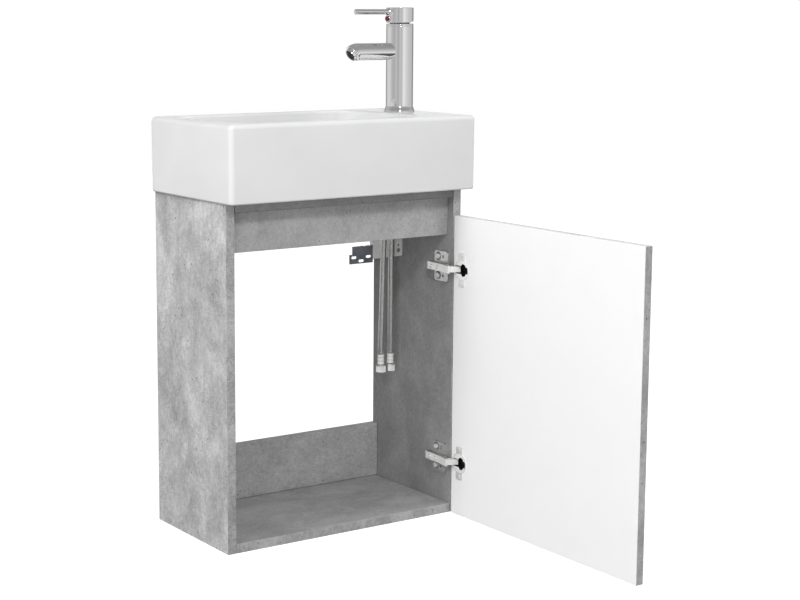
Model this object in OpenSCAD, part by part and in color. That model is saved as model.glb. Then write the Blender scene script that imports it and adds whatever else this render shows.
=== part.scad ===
/* [Cabinet] */
// Width over the two side panels
cab_w = 445; // [400:5:600]
// Depth of the side panels
cab_d = 227; // [210:1:300]
// Height of the side panels
cab_h = 546; // [500:1:640]
// Thickness of every board
board_t = 15; // [15:1:18]
// How far the fascia stands back from the panel fronts
fascia_setback = 14; // [8:1:20]
// Height of the fascia under the front stretcher
fascia_h = 63; // [50:1:90]
// Depth of the front stretcher
stretcher_d = 68; // [60:1:70]
// Height of the rear stretcher under the basin
rear_stretcher_h = 80; // [60:1:84]
// Height of the lower back rail
back_rail_h = 95; // [70:1:120]
// Diameter of the carcass dowels
dowel_d = 8; // [6:1:8]
// Length of a carcass dowel
dowel_l = 30; // [25:1:35]
// Distance from a board's edge to its nearest dowel
dowel_inset = 18; // [14:1:24]

/* [Door] */
// How far the door stays inside the cabinet's outline at each side
door_reveal = 1.5; // [1:0.5:3]
// Height of the door's lower edge
door_lift = 1; // [0.5:0.5:3]
// Height of the finger gap over the door
finger_gap = 29.5; // [24:0.5:32]
// Radius on the door's front edges
door_edge_r = 2.5; // [1:0.5:4]
// Gap between the closed door and the panel fronts
door_gap = 2; // [2:0.5:3]

/* [Hinges] */
// Diameter of the hinge cup
cup_d = 35; // [35:1:36]
// Board left between the cup bore and the door's edge
cup_edge = 3.5; // [3.5:0.5:5]
// Depth of the cup
cup_depth = 12.2; // [12:0.1:12.8]
// Wall of the pressed cup
cup_wall = 0.9; // [0.8:0.1:1.2]
// Height of the cup's flange with its two ears
flange_h = 56; // [52:1:60]
// Width of the cup's flange
flange_w = 16; // [14:1:18]
// Thickness of the cup's flange
flange_t = 1; // [0.8:0.1:1.2]
// Radius of the links' eyes on the arm
eye_r = 1.9; // [1.8:0.1:2]
// Radius of the outer link's eye in the cup
cup_eye_r = 1.5; // [1.4:0.1:1.5]
// Diameter of the pins in the cup
cup_pin_d = 1.8; // [1.6:0.1:1.8]
// Thickness of the link plates
link_t = 1.4; // [1.2:0.1:1.5]
// Width of the links
link_w = 9.4; // [8:0.2:10]
// Diameter of the hinge pins
pin_d = 2.2; // [2:0.1:2.4]
// Thickness of the arm's sheet
arm_t = 1.2; // [1:0.1:1.4]
// Distance of the arm's tail from the panel front
arm_tail = 52; // [48:1:58]
// Width of the mounting plate, front to back
plate_w = 36; // [34:1:40]
// Height of the mounting plate over its wings
plate_h = 50; // [46:1:60]
// Thickness of the mounting plate's wings
plate_t = 2; // [1.6:0.1:2.4]
// Distance of the plate's fixing line from the panel front
plate_line = 37; // [34:1:38]
// Distance from the door's top edge to the upper hinge
hinge_from_top = 87.5; // [86:0.5:110]
// Distance from the door's lower edge to the lower hinge
hinge_from_foot = 89; // [86:1:110]

/* [Wall fixing] */
// Distance from the rear stretcher down to the wall plates
wall_plate_drop = 38.5; // [30:0.5:60]
// Width of a wall plate
wall_plate_w = 49; // [44:1:54]
// Height of a wall plate
wall_plate_h = 31.5; // [30:0.5:36]
// Thickness of the wall plate and its lip
wall_plate_t = 2; // [1.5:0.5:2.5]
// Length of the slots in the wall plate
slot_l = 11.5; // [9:0.5:13]
// Width of the slots in the wall plate
slot_w = 5; // [4:0.5:6]
// Depth of the hanger's housing, front to back
hanger_d = 66.5; // [60:0.5:75]
// Thickness of the hanger's housing
hanger_t = 15; // [14:0.5:20]
// Height of the hanger's housing at its rear
hanger_h = 65; // [60:1:70]

/* [Basin] */
// How far the basin reaches past the cabinet at each side
basin_over = 7.5; // [5:0.5:12]
// How far the basin reaches past the panel fronts
basin_front = 28; // [24:1:34]
// Height of the basin
basin_h = 120; // [110:1:150]
// Radius of the basin's upright corners and top edge
basin_r = 8; // [6:0.5:10]
// Thickness of the basin's outer wall
basin_wall = 14; // [12:1:16]
// Width of the tap ledge beside the bowl
ledge_w = 92; // [88:1:110]
// Width of the bowl's rim on the other three sides
rim_w = 20; // [18:1:30]
// Depth of the bowl
bowl_depth = 86; // [70:1:92]
// Radius of the bowl's upright corners
bowl_r = 34; // [24:1:40]
// Radius where the bowl's walls meet its floor
bowl_foot_r = 22; // [14:1:24]
// Thickness of the bowl's floor
floor_t = 12; // [10:1:16]
// Thickness of the tap ledge
ledge_t = 14; // [12:1:18]
// Distance of the waste from the basin's middle, to the right
waste_x = 20; // [-60:1:70]
// Diameter of the waste hole
waste_hole_d = 46; // [44:1:48]

/* [Tap] */
// Distance of the tap from the basin's right side
tap_side = 44; // [42:1:48]
// Distance of the tap from the wall
tap_back = 103; // [90:1:130]
// Diameter of the tap's body and head
tap_d = 46; // [42:1:50]
// Height of the tap above the basin
tap_h = 172; // [150:1:200]
// Height of the turning head
head_h = 25; // [22:1:28]
// Gap between the body and the head
head_gap = 1.4; // [1:0.1:2]
// Diameter of the spout
spout_d = 28; // [24:1:30]
// Distance from the tap's top down to the spout's centre
spout_drop = 72; // [72:1:84]
// Straight length of the spout from the tap's axis
spout_l = 84; // [70:1:110]
// Diameter of the lever rod
lever_d = 8.6; // [7:0.2:10]
// Reach of the lever rod from the tap's axis
lever_l = 91; // [70:1:110]
// Diameter of the tap hole in the ledge
tap_hole_d = 35; // [33:1:37]
// Highest lift of the lever, in degrees
lever_lift = 14; // [10:1:16]

/* [Hoses] */
// Diameter of the braided hoses
hose_d = 10; // [9:0.5:10.5]
// Diameter of the crimped ferrules
ferrule_d = 11.6; // [11.2:0.1:12]
// Length of the crimped ferrules
ferrule_l = 19; // [16:1:22]
// Width across the flats of the union nuts
union_af = 18; // [17:1:19]
// Height of the union nuts
union_h = 12; // [10:1:14]

/* [Hidden] */

$fn = 48;
eps = 0.05;
fit = 0.05;
steel = "silver";
concrete = "darkgray";

inner_w = cab_w - 2 * board_t;
inner_x = inner_w / 2;
fascia_top = cab_h - board_t;
fascia_z = fascia_top - fascia_h;
fascia_y = -cab_d + fascia_setback;
door_w = cab_w - 2 * door_reveal;
door_z = door_lift;
door_h = cab_h - board_t - finger_gap - door_lift;
overlay = board_t - door_reveal;
hinge_z_high = door_z + door_h - hinge_from_top;
hinge_z_low = door_z + hinge_from_foot;

module block(low, high) {
    translate(low) cube(high - low);
}

module along_x(x0, x1, d) {
    translate([x0, 0, 0]) rotate([0, 90, 0]) cylinder(h = x1 - x0, d = d);
}

module along_y(y0, y1, d) {
    translate([0, y0, 0]) rotate([-90, 0, 0]) cylinder(h = y1 - y0, d = d);
}

// Carcass: boards joined by dowels that run along X into the side panels.

dowel_spots = [
    for (y = [-cab_d + dowel_inset, -cab_d / 2, -dowel_inset - board_t]) [y, board_t / 2],
    for (y = [-cab_d + dowel_inset, -cab_d + stretcher_d - dowel_inset]) [y, cab_h - board_t / 2],
    for (z = [fascia_z + dowel_inset, fascia_top - dowel_inset]) [fascia_y + board_t / 2, z],
    for (z = [board_t + dowel_inset, board_t + back_rail_h - dowel_inset]) [-board_t / 2, z],
    for (z = [cab_h - rear_stretcher_h + dowel_inset, cab_h - dowel_inset]) [-board_t / 2, z]
];
dowel_in_side = 10;

module dowel_rods(grow) {
    for (side = [-1, 1], spot = dowel_spots)
        translate([side * (inner_x + dowel_in_side - dowel_l / 2), spot[0], spot[1]])
            along_x(-dowel_l / 2 - grow, dowel_l / 2 + grow, dowel_d + 2 * grow);
}

module side_panel(side) {
    x = side > 0 ? inner_x : -cab_w / 2;
    color(concrete) difference() {
        block([x, -cab_d, 0], [x + board_t, 0, cab_h]);
        dowel_rods(fit);
        for (y = peg_ys)
            translate([side * inner_x, y, peg_z]) along_x(-peg_l - fit, peg_l + fit, peg_d + 2 * fit);
        if (side > 0)
            for (z = [hinge_z_low, hinge_z_high])
                at_hinge(z) plate_screw_shanks(fit);
    }
}

module carcass_board(low, high) {
    color(concrete) difference() {
        block(low, high);
        dowel_rods(fit);
    }
}

module left_side_panel() side_panel(-1);
module right_side_panel() side_panel(1);
module bottom_panel() carcass_board([-inner_x, -cab_d, 0], [inner_x, 0, board_t]);
module top_front_stretcher()
    carcass_board([-inner_x, -cab_d, cab_h - board_t], [inner_x, -cab_d + stretcher_d, cab_h]);
module top_rear_stretcher()
    carcass_board([-inner_x, -board_t, cab_h - rear_stretcher_h], [inner_x, 0, cab_h]);
module fascia_rail() carcass_board([-inner_x, fascia_y, fascia_z], [inner_x, fascia_y + board_t, fascia_top]);
module lower_back_rail() carcass_board([-inner_x, -board_t, board_t], [inner_x, 0, board_t + back_rail_h]);
module carcass_dowels() color("burlywood") dowel_rods(0);

// Wall fixing: a hanger pegged to each side panel hooks over the lip of a slotted plate on the wall.

plate_gap = 3;
wall_plate_z = cab_h - rear_stretcher_h - wall_plate_drop - wall_plate_h;
wall_plate_x = inner_x - plate_gap - wall_plate_w / 2;
lip_rise = 16.5;
lip_z = wall_plate_z + lip_rise;
lip_y = -6;
slot_pitch = 15.3;
slot_rise = 11.2;
slot_low = 4.6;
lip_top = wall_plate_z + wall_plate_h;
hanger_rear = -18.5;
hanger_front = hanger_rear - hanger_d;
hanger_z = wall_plate_z + 9;
hanger_rise = 13;
hanger_top = hanger_z + hanger_h;
hook_t = 3;
hook_x = inner_x - hanger_t / 2 - hook_t / 2;
hook_z = lip_top + 0.3;
hook_h = 14;
hook_tail = 30;
peg_d = 10;
peg_l = 9;
peg_drop = 16;
peg_z = hanger_top - peg_drop;
peg_spacing = 32;
peg_ys = [hanger_rear - peg_spacing / 2, hanger_rear - 1.5 * peg_spacing];
hanger_screw_l = 16;
screw_rise = 22.5;
screw_pitch = 9;
screw_zs = [hanger_z + screw_rise, hanger_z + screw_rise + screw_pitch];
screw_ds = [7.6, 4.6];

module wall_plate(side) {
    x = side * wall_plate_x;
    half = wall_plate_w / 2;
    color("dimgray") difference() {
        union() {
            block([x - half, -wall_plate_t, wall_plate_z], [x + half, 0, lip_z]);
            block([x - half + 2, lip_y - wall_plate_t, lip_z - wall_plate_t], [x + half - 2, 0, lip_z]);
            block([x - half + 2, lip_y - wall_plate_t, lip_z - eps], [x + half - 2, lip_y, lip_top]);
        }
        for (slot = [[-slot_pitch, slot_rise], [0, slot_low], [slot_pitch, slot_rise]])
            translate([x + slot[0], 0, wall_plate_z + slot[1]]) {
                half_slot = (slot_l - slot_w) / 2;
                for (end = [-1, 1])
                    translate([end * half_slot, 0, 0]) along_y(-wall_plate_t - 1, 1, slot_w);
                translate([-half_slot, -wall_plate_t - 1, -slot_w / 2])
                    cube([2 * half_slot, wall_plate_t + 2, slot_w]);
            }
        for (notch = [x, x + side * 13])
            block([notch - 2.5, lip_y - wall_plate_t - 1, lip_top - 4],
                  [notch + 2.5, lip_y + 1, lip_top + 1]);
    }
}

// The right-hand shape, or its mirror image for the left side.
module on_side(side) {
    if (side > 0)
        children();
    else
        mirror([1, 0, 0]) children();
}

module hanger_housing(side) {
    color("gainsboro") on_side(side) difference() {
        union() {
            translate([inner_x - hanger_t, 0, 0]) rotate([90, 0, 90]) linear_extrude(hanger_t)
                polygon([
                    [hanger_rear, hanger_z], [hanger_rear, hanger_top], [hanger_front, hanger_top],
                    [hanger_front, hanger_z + hanger_rise]
                ]);
            for (y = peg_ys)
                translate([inner_x, y, peg_z]) along_x(-1, peg_l, peg_d);
        }
        block([hook_x - 0.3, hanger_rear - hook_tail - 2, hook_z - 3],
              [hook_x + hook_t + 0.3, hanger_rear + 1, hook_z + hook_h + 2]);
        for (i = [0, 1])
            translate([inner_x - hanger_t / 2, 0, screw_zs[i]])
                along_y(hanger_front - 1, hanger_front + hanger_screw_l + fit, screw_ds[i] + 2 * fit);
    }
}

module hanger_hook(side) {
    color(steel) on_side(side) {
        block([hook_x, hanger_rear - hook_tail, hook_z], [hook_x + hook_t, -1, hook_z + hook_h]);
        block([hook_x, lip_y + 0.4, hook_z - 8], [hook_x + hook_t, -1, hook_z + 1]);
    }
}

module hanger_screws() {
    color(steel) for (side = [-1, 1], i = [0, 1])
        translate([side * (inner_x - hanger_t / 2), 0, screw_zs[i]]) difference() {
            along_y(hanger_front + 1.2, hanger_front + hanger_screw_l, screw_ds[i]);
            for (turn = [0, 90])
                rotate([0, turn, 0]) block([-screw_ds[i] / 3, hanger_front, -0.5],
                                           [screw_ds[i] / 3, hanger_front + 3, 0.5]);
        }
}

module hanger_housing_left() hanger_housing(-1);
module hanger_housing_right() hanger_housing(1);
module hanger_hook_left() hanger_hook(-1);
module hanger_hook_right() hanger_hook(1);
module wall_plate_left() wall_plate(-1);
module wall_plate_right() wall_plate(1);

// Basin: a ceramic block, hollow underneath, with a bowl and a ledge for the tap.

basin_w = cab_w + 2 * basin_over;
basin_d = cab_d + basin_front;
basin_z = cab_h;
basin_top = basin_z + basin_h;
bowl_x0 = -basin_w / 2 + rim_w;
bowl_x1 = basin_w / 2 - ledge_w;
bowl_y0 = -basin_d + rim_w;
bowl_y1 = -rim_w;
bowl_floor = basin_top - bowl_depth;
bowl_taper = 9;
waste_y = (bowl_y0 + bowl_y1) / 2;
tap_x = basin_w / 2 - tap_side;
tap_y = -tap_back;
waste_seat = bowl_floor - 3;

module upright(x0, x1, y0, y1, z, h, r, fn) {
    for (x = [x0 + r, x1 - r], y = [y0 + r, y1 - r])
        translate([x, y, z]) cylinder(h = h, r = r, $fn = fn);
}

module balls(x0, x1, y0, y1, z, r, fn) {
    for (x = [x0 + r, x1 - r], y = [y0 + r, y1 - r])
        translate([x, y, z]) sphere(r = r, $fn = fn);
}

module basin_block() {
    half = basin_w / 2;
    hull() {
        upright(-half + 1, half - 1, -basin_d + 1, -1, basin_z, 1, basin_r - 1, 32);
        upright(-half, half, -basin_d, 0, basin_z + 2, 1, basin_r, 32);
        balls(-half, half, -basin_d, 0, basin_top - basin_r, basin_r, 32);
    }
}

module bowl_space() {
    hull() {
        upright(bowl_x0, bowl_x1, bowl_y0, bowl_y1, basin_top - 1, 3, bowl_r, 32);
        balls(bowl_x0 + bowl_taper, bowl_x1 - bowl_taper, bowl_y0 + bowl_taper, bowl_y1 - bowl_taper,
              bowl_floor + bowl_foot_r, bowl_foot_r, 32);
    }
}

module basin() {
    x = basin_w / 2 - basin_wall;
    y0 = -basin_d + basin_wall;
    under_ledge = bowl_x1 + basin_wall;
    color("white") difference() {
        basin_block();
        bowl_space();
        block([-x, y0, basin_z - 1], [x, -basin_wall, bowl_floor - floor_t]);
        block([under_ledge, y0, basin_z - 1], [x, -basin_wall, basin_top - ledge_t]);
        translate([waste_x, waste_y, basin_z]) cylinder(h = basin_h, d = waste_hole_d);
        translate([waste_x, waste_y, waste_seat]) cylinder(h = basin_h, d = flange_d + 2);
        translate([tap_x, tap_y, basin_z]) cylinder(h = 2 * basin_h, d = tap_hole_d);
    }
}

// Waste: flange and threaded body clamp the basin's floor, and a plug slides in the body.

flange_d = 64;
waste_bore = 34;
waste_d = 42;
waste_tail = 62;
waste_nut_h = 12;
waste_cross_drop = 34;
plug_d = 58;
plug_travel = 5;
plug_stem_d = 9;
plug_stem_l = 29.5;
plug_guide_d = 22;
plug_guide_drop = 16;
plug_guide_h = 4;
floor_under = bowl_floor - floor_t;
gasket_t = 3;
gasket_d = 60;

module at_waste() {
    translate([waste_x, waste_y, 0]) children();
}

module waste_flange() {
    color(steel) at_waste() rotate_extrude() polygon([
        [waste_bore / 2, waste_seat - 4], [waste_d / 2, waste_seat - 4], [waste_d / 2, waste_seat],
        [flange_d / 2, waste_seat], [flange_d / 2 - 1, waste_seat + 2.4],
        [waste_bore / 2 + 5, waste_seat + 1.4], [waste_bore / 2, waste_seat - 1]
    ]);
}

module waste_body() {
    color(steel) at_waste() {
        rotate_extrude() polygon([
            [waste_bore / 2, waste_seat - waste_tail], [waste_d / 2, waste_seat - waste_tail],
            [waste_d / 2, waste_seat - 4], [waste_bore / 2, waste_seat - 4]
        ]);
        for (turn = [0, 90])
            rotate([0, 0, turn]) translate([0, 0, waste_seat - waste_cross_drop])
                block([-waste_bore / 2 - 1, -1.5, 0], [waste_bore / 2 + 1, 1.5, 4]);
    }
}

module ring(d_out, d_in, z, h) {
    translate([0, 0, z]) difference() {
        cylinder(h = h, d = d_out);
        translate([0, 0, -1]) cylinder(h = h + 2, d = d_in);
    }
}

module hex_ring(af, d_in, z, h) {
    translate([0, 0, z]) difference() {
        cylinder(h = h, d = af / cos(30), $fn = 6);
        translate([0, 0, -1]) cylinder(h = h + 2, d = d_in);
    }
}

module waste_gasket() color("dimgray") at_waste()
    ring(gasket_d, waste_d + 2 * fit, floor_under - gasket_t, gasket_t);
module waste_nut() color(steel) at_waste()
    hex_ring(waste_d + 14, waste_d + 2 * fit, floor_under - gasket_t - waste_nut_h, waste_nut_h);

module waste_plug() {
    top = waste_seat + plug_travel + 6;
    guide_z = top - plug_guide_drop;
    color(steel) at_waste() {
        rotate_extrude() polygon([
            [0, top - 3.4], [plug_d / 2 - 2, top - 3.4], [plug_d / 2, top - 2],
            [plug_d / 2 - 3, top - 0.6], [0, top]
        ]);
        translate([0, 0, waste_seat + plug_travel - plug_stem_l])
            cylinder(h = plug_stem_l + 5, d = plug_stem_d);
        ring(waste_bore - 1, plug_guide_d, guide_z, plug_guide_h);
        for (turn = [0, 90])
            rotate([0, 0, turn])
                block([-plug_guide_d / 2 - 2, -1, guide_z], [plug_guide_d / 2 + 2, 1, guide_z + plug_guide_h]);
    }
}

// Tap: a round body on a base ring, a turned-down spout, and a head that turns and lifts.

ring_d = tap_d + 6;
ring_h = 9;
body_top = basin_top + tap_h - head_h - head_gap;
head_z = basin_top + tap_h - head_h;
head_top = basin_top + tap_h;
cart_d = 35;
cart_h = 28;
cart_z = body_top - cart_h - 4;
rotor_d = 16;
rotor_h = 12;
rotor_z = body_top - 14;
lift_z = body_top - 6;
stem_w = 7;
stem_pin_d = 3;
head_room = 13;
spout_axis = head_top - spout_drop;
elbow_r = 15;
elbow_turn = 45;
lip_l = 2.4;
spout_bore = 14;
aerator_d = 22;
mouth_depth = 8;
shank_under = basin_top - ledge_t;
stud_d = 8;
stud_y = tap_hole_d / 2 - 5.5;
tail_d = 8;
tail_x = 8;
tail_in = 20;
tail_top = basin_top + ring_h + tail_in;
stud_l = 46;
lever_drop = 7;
lever_in = 10;
mark_z = head_z + 8.5;
mark_d = 7;

module at_tap() {
    translate([tap_x, tap_y, 0]) children();
}

module tap_base_ring() {
    color(steel) at_tap() rotate_extrude() polygon([
        [tap_hole_d / 2 - 1, basin_top], [ring_d / 2, basin_top], [ring_d / 2, basin_top + 2],
        [ring_d / 2 - 2, basin_top + 5], [tap_d / 2, basin_top + ring_h],
        [tap_hole_d / 2 - 1, basin_top + ring_h]
    ]);
}

module tap_body() {
    color(steel) at_tap() difference() {
        translate([0, 0, basin_top + ring_h]) cylinder(h = body_top - basin_top - ring_h, d = tap_d);
        translate([0, 0, cart_z]) cylinder(h = cart_h + 10, d = cart_d + 2 * fit);
        translate([0, 0, basin_top]) cylinder(h = ring_h + 8, d = tap_hole_d - 6);
        for (x = [-tail_x, tail_x])
            translate([x, 0, basin_top + ring_h]) cylinder(h = tail_in + 2, d = tail_d + 2 * fit);
        translate([0, stud_y, basin_top + ring_h - eps]) cylinder(h = tail_in + 2, d = stud_d + 2 * fit);
        translate([0, 0, spout_axis]) along_x(-tap_d, -cart_d / 2 + 8, spout_bore + 4 + 2 * fit);
    }
}

module at_lip() {
    translate([-spout_l, 0, spout_axis - elbow_r]) rotate([0, -elbow_turn, 0])
        translate([0, 0, elbow_r]) rotate([0, -90, 0]) children();
}

module tap_spout() {
    color(steel) at_tap() difference() {
        union() {
            translate([0, 0, spout_axis]) along_x(-spout_l, -tap_d / 2 + 2, spout_d);
            translate([-spout_l, 0, spout_axis - elbow_r]) rotate([90, 0, 0])
                rotate([0, 0, 90]) rotate_extrude(angle = elbow_turn)
                    translate([elbow_r, 0]) circle(d = spout_d);
            at_lip() translate([0, 0, -3]) cylinder(h = 3 + lip_l, d = spout_d - 1);
            translate([0, 0, spout_axis]) along_x(-tap_d / 2, -cart_d / 2 + 6, spout_bore + 4);
        }
        translate([0, 0, body_top - tap_h]) difference() {
            cylinder(h = tap_h, d = tap_d + 2 * fit);
            translate([0, 0, spout_axis - body_top + tap_h]) along_x(-tap_d, 0, spout_bore + 4);
        }
        translate([0, 0, spout_axis]) along_x(-spout_l - 3, 0, spout_bore);
        at_lip() translate([0, 0, -mouth_depth]) cylinder(h = 2 * mouth_depth, d = aerator_d + 2 * fit);
    }
}

module tap_aerator() {
    color("dimgray") at_tap() at_lip() {
        ring(aerator_d, aerator_d - 4, 0.2 - mouth_depth, mouth_depth - 0.6 + lip_l);
        ring(14, 11, -3, 3);
        ring(8, 5, -3, 3);
        for (turn = [0 : 30 : 150])
            rotate([0, 0, turn]) translate([-aerator_d / 2 + 1, -0.5, -3]) cube([aerator_d - 2, 1, 3]);
    }
}

module tap_cartridge() {
    color("whitesmoke") at_tap() difference() {
        translate([0, 0, cart_z]) cylinder(h = cart_h, d = cart_d);
        translate([0, 0, rotor_z - 0.1]) cylinder(h = rotor_h, d = rotor_d + 0.3);
    }
}

module tap_cartridge_nut() {
    color(steel) at_tap() rotate_extrude() polygon([
        [8.5, cart_z + cart_h], [cart_d / 2, cart_z + cart_h], [cart_d / 2, body_top],
        [cart_d / 2 - 1.5, body_top + 2.2], [8.5, body_top + 3.4]
    ]);
}

module tap_rotor() {
    color("gainsboro") at_tap() difference() {
        translate([0, 0, rotor_z]) cylinder(h = rotor_h, d = rotor_d);
        translate([-7, -stem_w / 2 - 0.3, rotor_z + 2]) cube([14, stem_w + 0.6, rotor_h]);
        translate([0, 0, lift_z]) along_y(-rotor_d, rotor_d, stem_pin_d + 2 * fit);
    }
}

module tap_stem() {
    color(steel) at_tap() {
        translate([0, 0, lift_z]) along_y(-rotor_d / 2 + 1, rotor_d / 2 - 1, stem_pin_d);
        translate([-3, -stem_w / 2, lift_z - 2]) cube([6, stem_w, head_z + head_room - lift_z + 2]);
    }
}

module tap_head() {
    reach = tap_d;
    inside = tap_d / 2 - 2.4;
    color(steel) at_tap() difference() {
        rotate_extrude() polygon([
            [0, head_z], [tap_d / 2, head_z], [tap_d / 2, head_top - 0.8],
            [tap_d / 2 - 0.8, head_top], [0, head_top]
        ]);
        rotate_extrude() polygon([
            [0, head_z - 1], [inside, head_z - 1], [inside, head_z + 5],
            [12, head_z + head_room], [0, head_z + head_room]
        ]);
        translate([0, 0, head_z]) rotate([0, -lever_lift - 2, 0])
            block([0, -reach, -reach], [reach, reach, 0]);
        translate([0, 0, head_top - lever_drop]) along_x(-tap_d, -tap_d / 2 + lever_in, lever_d + 2 * fit);
        translate([0, 0, mark_z]) along_x(-tap_d, -tap_d / 2 + 1.6, mark_d + 2 * fit);
    }
}

module tap_lever() {
    color(steel) at_tap() translate([0, 0, head_top - lever_drop]) {
        along_x(-lever_l + lever_d / 2, -tap_d / 2 + lever_in - fit, lever_d);
        translate([-lever_l + lever_d / 2, 0, 0]) sphere(d = lever_d);
    }
}

module tap_mark() {
    color("firebrick") at_tap() translate([0, 0, mark_z]) along_x(-tap_d / 2 - 0.4, -tap_d / 2 + 1.5, mark_d);
}

module tap_stud() {
    color("goldenrod") at_tap() translate([0, stud_y, shank_under - stud_l])
        cylinder(h = tail_top - shank_under + stud_l, d = stud_d);
}

// A horseshoe that slips over the stud and leaves room for both hoses.
module clamp_shape(h) {
    room = ferrule_d + 1.4;
    difference() {
        cylinder(h = h, d = tap_hole_d + 8);
        for (x = [-tail_x, tail_x])
            translate([x, 0, -1]) cylinder(h = h + 2, d = room);
        block([-tail_x - room / 2, -tap_hole_d, -1], [tail_x + room / 2, 0, h + 1]);
        translate([0, stud_y, -1]) cylinder(h = h + 2, d = stud_d + 2 * fit);
    }
}

module tap_gasket() color("black") at_tap() translate([0, 0, shank_under - 3]) clamp_shape(3);
module tap_washer() color(steel) at_tap() translate([0, 0, shank_under - 5]) clamp_shape(2);
module tap_nut() color("goldenrod") at_tap() translate([0, stud_y, 0])
    hex_ring(12, stud_d + 2 * fit, shank_under - 12, 7);

// Hoses: braided tubes that hang from the tap through the basin's hole, with a union nut each.

hose_sides = 10;
hose_steps = 3;
neck_d = 7;
collar_d = 12;
union_roof = 3;
left_run = [
    [-8, 0, -26], [-8, 0, -40], [-9, 1, -76], [-13, 9, -126], [-16.5, 16, -186],
    [-18, 18, -246], [-20, 18, -326], [-22, 18, -396], [-22, 18, -416]
];
right_run = [
    [8, 0, -26], [8, 0, -40], [7, 1, -76], [2, 9, -126], [-1, 16, -186],
    [-1.5, 18, -246], [-2, 18, -326], [-2, 18, -396], [-2, 18, -416]
];
tap_foot = [tap_x, tap_y, basin_top];
left_route = [for (p = left_run) tap_foot + p];
right_route = [for (p = right_run) tap_foot + p];
hose_top = left_route[0][2];

function weave(a, b, c, d, t) =
    0.5 * (2 * b + (c - a) * t + (2 * a - 5 * b + 4 * c - d) * t * t + (3 * b - a - 3 * c + d) * t * t * t);
function smooth(route) = [
    for (i = [0 : len(route) - 2], s = [0 : hose_steps - 1])
        weave(route[max(i - 1, 0)], route[i], route[i + 1],
              route[min(i + 2, len(route) - 1)], s / hose_steps),
    route[len(route) - 1]
];
function unit(v) = v / norm(v);
function heading(path, i) = i == 0 || i == len(path) - 1
    ? [0, 0, -1] : unit(path[i + 1] - path[i - 1]);
function hoop(centre, dir, r) =
    let (side = unit(cross([0, 1, 0], dir)), up = cross(dir, side))
    [for (k = [0 : hose_sides - 1])
        centre + r * (cos(360 * k / hose_sides) * side + sin(360 * k / hose_sides) * up)];

module tube(route, d) {
    path = smooth(route);
    n = len(path);
    points = [for (i = [0 : n - 1]) each hoop(path[i], heading(path, i), d / 2)];
    walls = [
        for (i = [0 : n - 2], k = [0 : hose_sides - 1]) each
            let (a = i * hose_sides + k, b = i * hose_sides + (k + 1) % hose_sides)
            [[a, b, a + hose_sides], [b, b + hose_sides, a + hose_sides]]
    ];
    caps = [
        [for (k = [hose_sides - 1 : -1 : 0]) k],
        [for (k = [0 : hose_sides - 1]) (n - 1) * hose_sides + k]
    ];
    polyhedron(points, concat(walls, caps));
}

ends = [left_route[len(left_route) - 1], right_route[len(right_route) - 1]];

module hose_left() color("slategray") tube(left_route, hose_d);
module hose_right() color("slategray") tube(right_route, hose_d);

module hose_fittings() {
    color(steel) at_tap() for (x = [-tail_x, tail_x]) {
        translate([x, 0, hose_top + ferrule_l]) cylinder(h = tail_top - hose_top - ferrule_l, d = tail_d);
        translate([x, 0, hose_top]) cylinder(h = ferrule_l, d = ferrule_d);
    }
}

module hose_ferrules() {
    color(steel) for (end = ends)
        translate(end - [0, 0, ferrule_l]) {
            cylinder(h = ferrule_l, d = ferrule_d);
            translate([0, 0, -union_h + 2]) cylinder(h = union_h - 2, d = neck_d);
            translate([0, 0, -union_roof - 3]) cylinder(h = 3, d = collar_d);
        }
}

module union_nuts() {
    color(steel) for (end = ends)
        translate(end - [0, 0, ferrule_l + union_h]) difference() {
            rotate([0, 0, 30]) cylinder(h = union_h - 0.1, d = union_af / cos(30), $fn = 6);
            translate([0, 0, -1]) cylinder(h = union_h - union_roof + 1, d = collar_d + 2 * fit);
            translate([0, 0, -1]) cylinder(h = union_h + 2, d = neck_d + 1.4);
        }
}

// Hinges: in plan, u runs from the right panel's inner face outwards and v from its front edge inwards.
// Each link's pivot on the arm is the centre of the turn that takes its pin on the cup from the
// closed door to the open door. The links turn back by link_ratio of the door's own turn.

link_ratio = -0.38;
open_turn = 90;
open_side = -2.5;
open_ahead = 6.2;
outer_pin = [6.2, 2.3];
inner_pin = [11, 4];

function when_closed(pin) = [overlay - pin[0], -door_gap - pin[1]];
function when_open(pin) = [open_side + pin[1], -open_ahead - pin[0]];
function turn_centre(p, q, turn) =
    (p + q) / 2 + [p[1] - q[1], q[0] - p[0]] / (2 * tan(turn / 2));
arm_outer = turn_centre(when_closed(outer_pin), when_open(outer_pin), link_ratio * open_turn);
arm_inner = turn_centre(when_closed(inner_pin), when_open(inner_pin), link_ratio * open_turn);
cup_outer = when_open(outer_pin);
cup_inner = when_open(inner_pin);
cheek_gap = link_w + 0.6;
arm_w = cheek_gap + 2 * arm_t;
cup_mid = cup_edge + cup_d / 2;
cup_x = open_side;
cup_v = -open_ahead - cup_mid;
nose_r = 2.4;
cup_pin_half = 7;

module at_hinge(z) {
    translate([inner_x, -cab_d, z]) children();
}

module level_pin(spot, half, d) {
    translate([spot[0], spot[1], -half]) cylinder(h = 2 * half, d = d);
}

module arm_outline() {
    polygon([
        arm_inner + [-nose_r, 0], [-15.2, 12], [-13, arm_tail], [-3, arm_tail], [-3, 10],
        arm_outer + [2.6, 0], arm_outer + [-1, -2.6], arm_inner + [nose_r * 0.7, nose_r * 0.7]
    ]);
    translate(arm_inner) circle(r = nose_r);
    translate(arm_outer) circle(r = 2.6);
}

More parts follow.
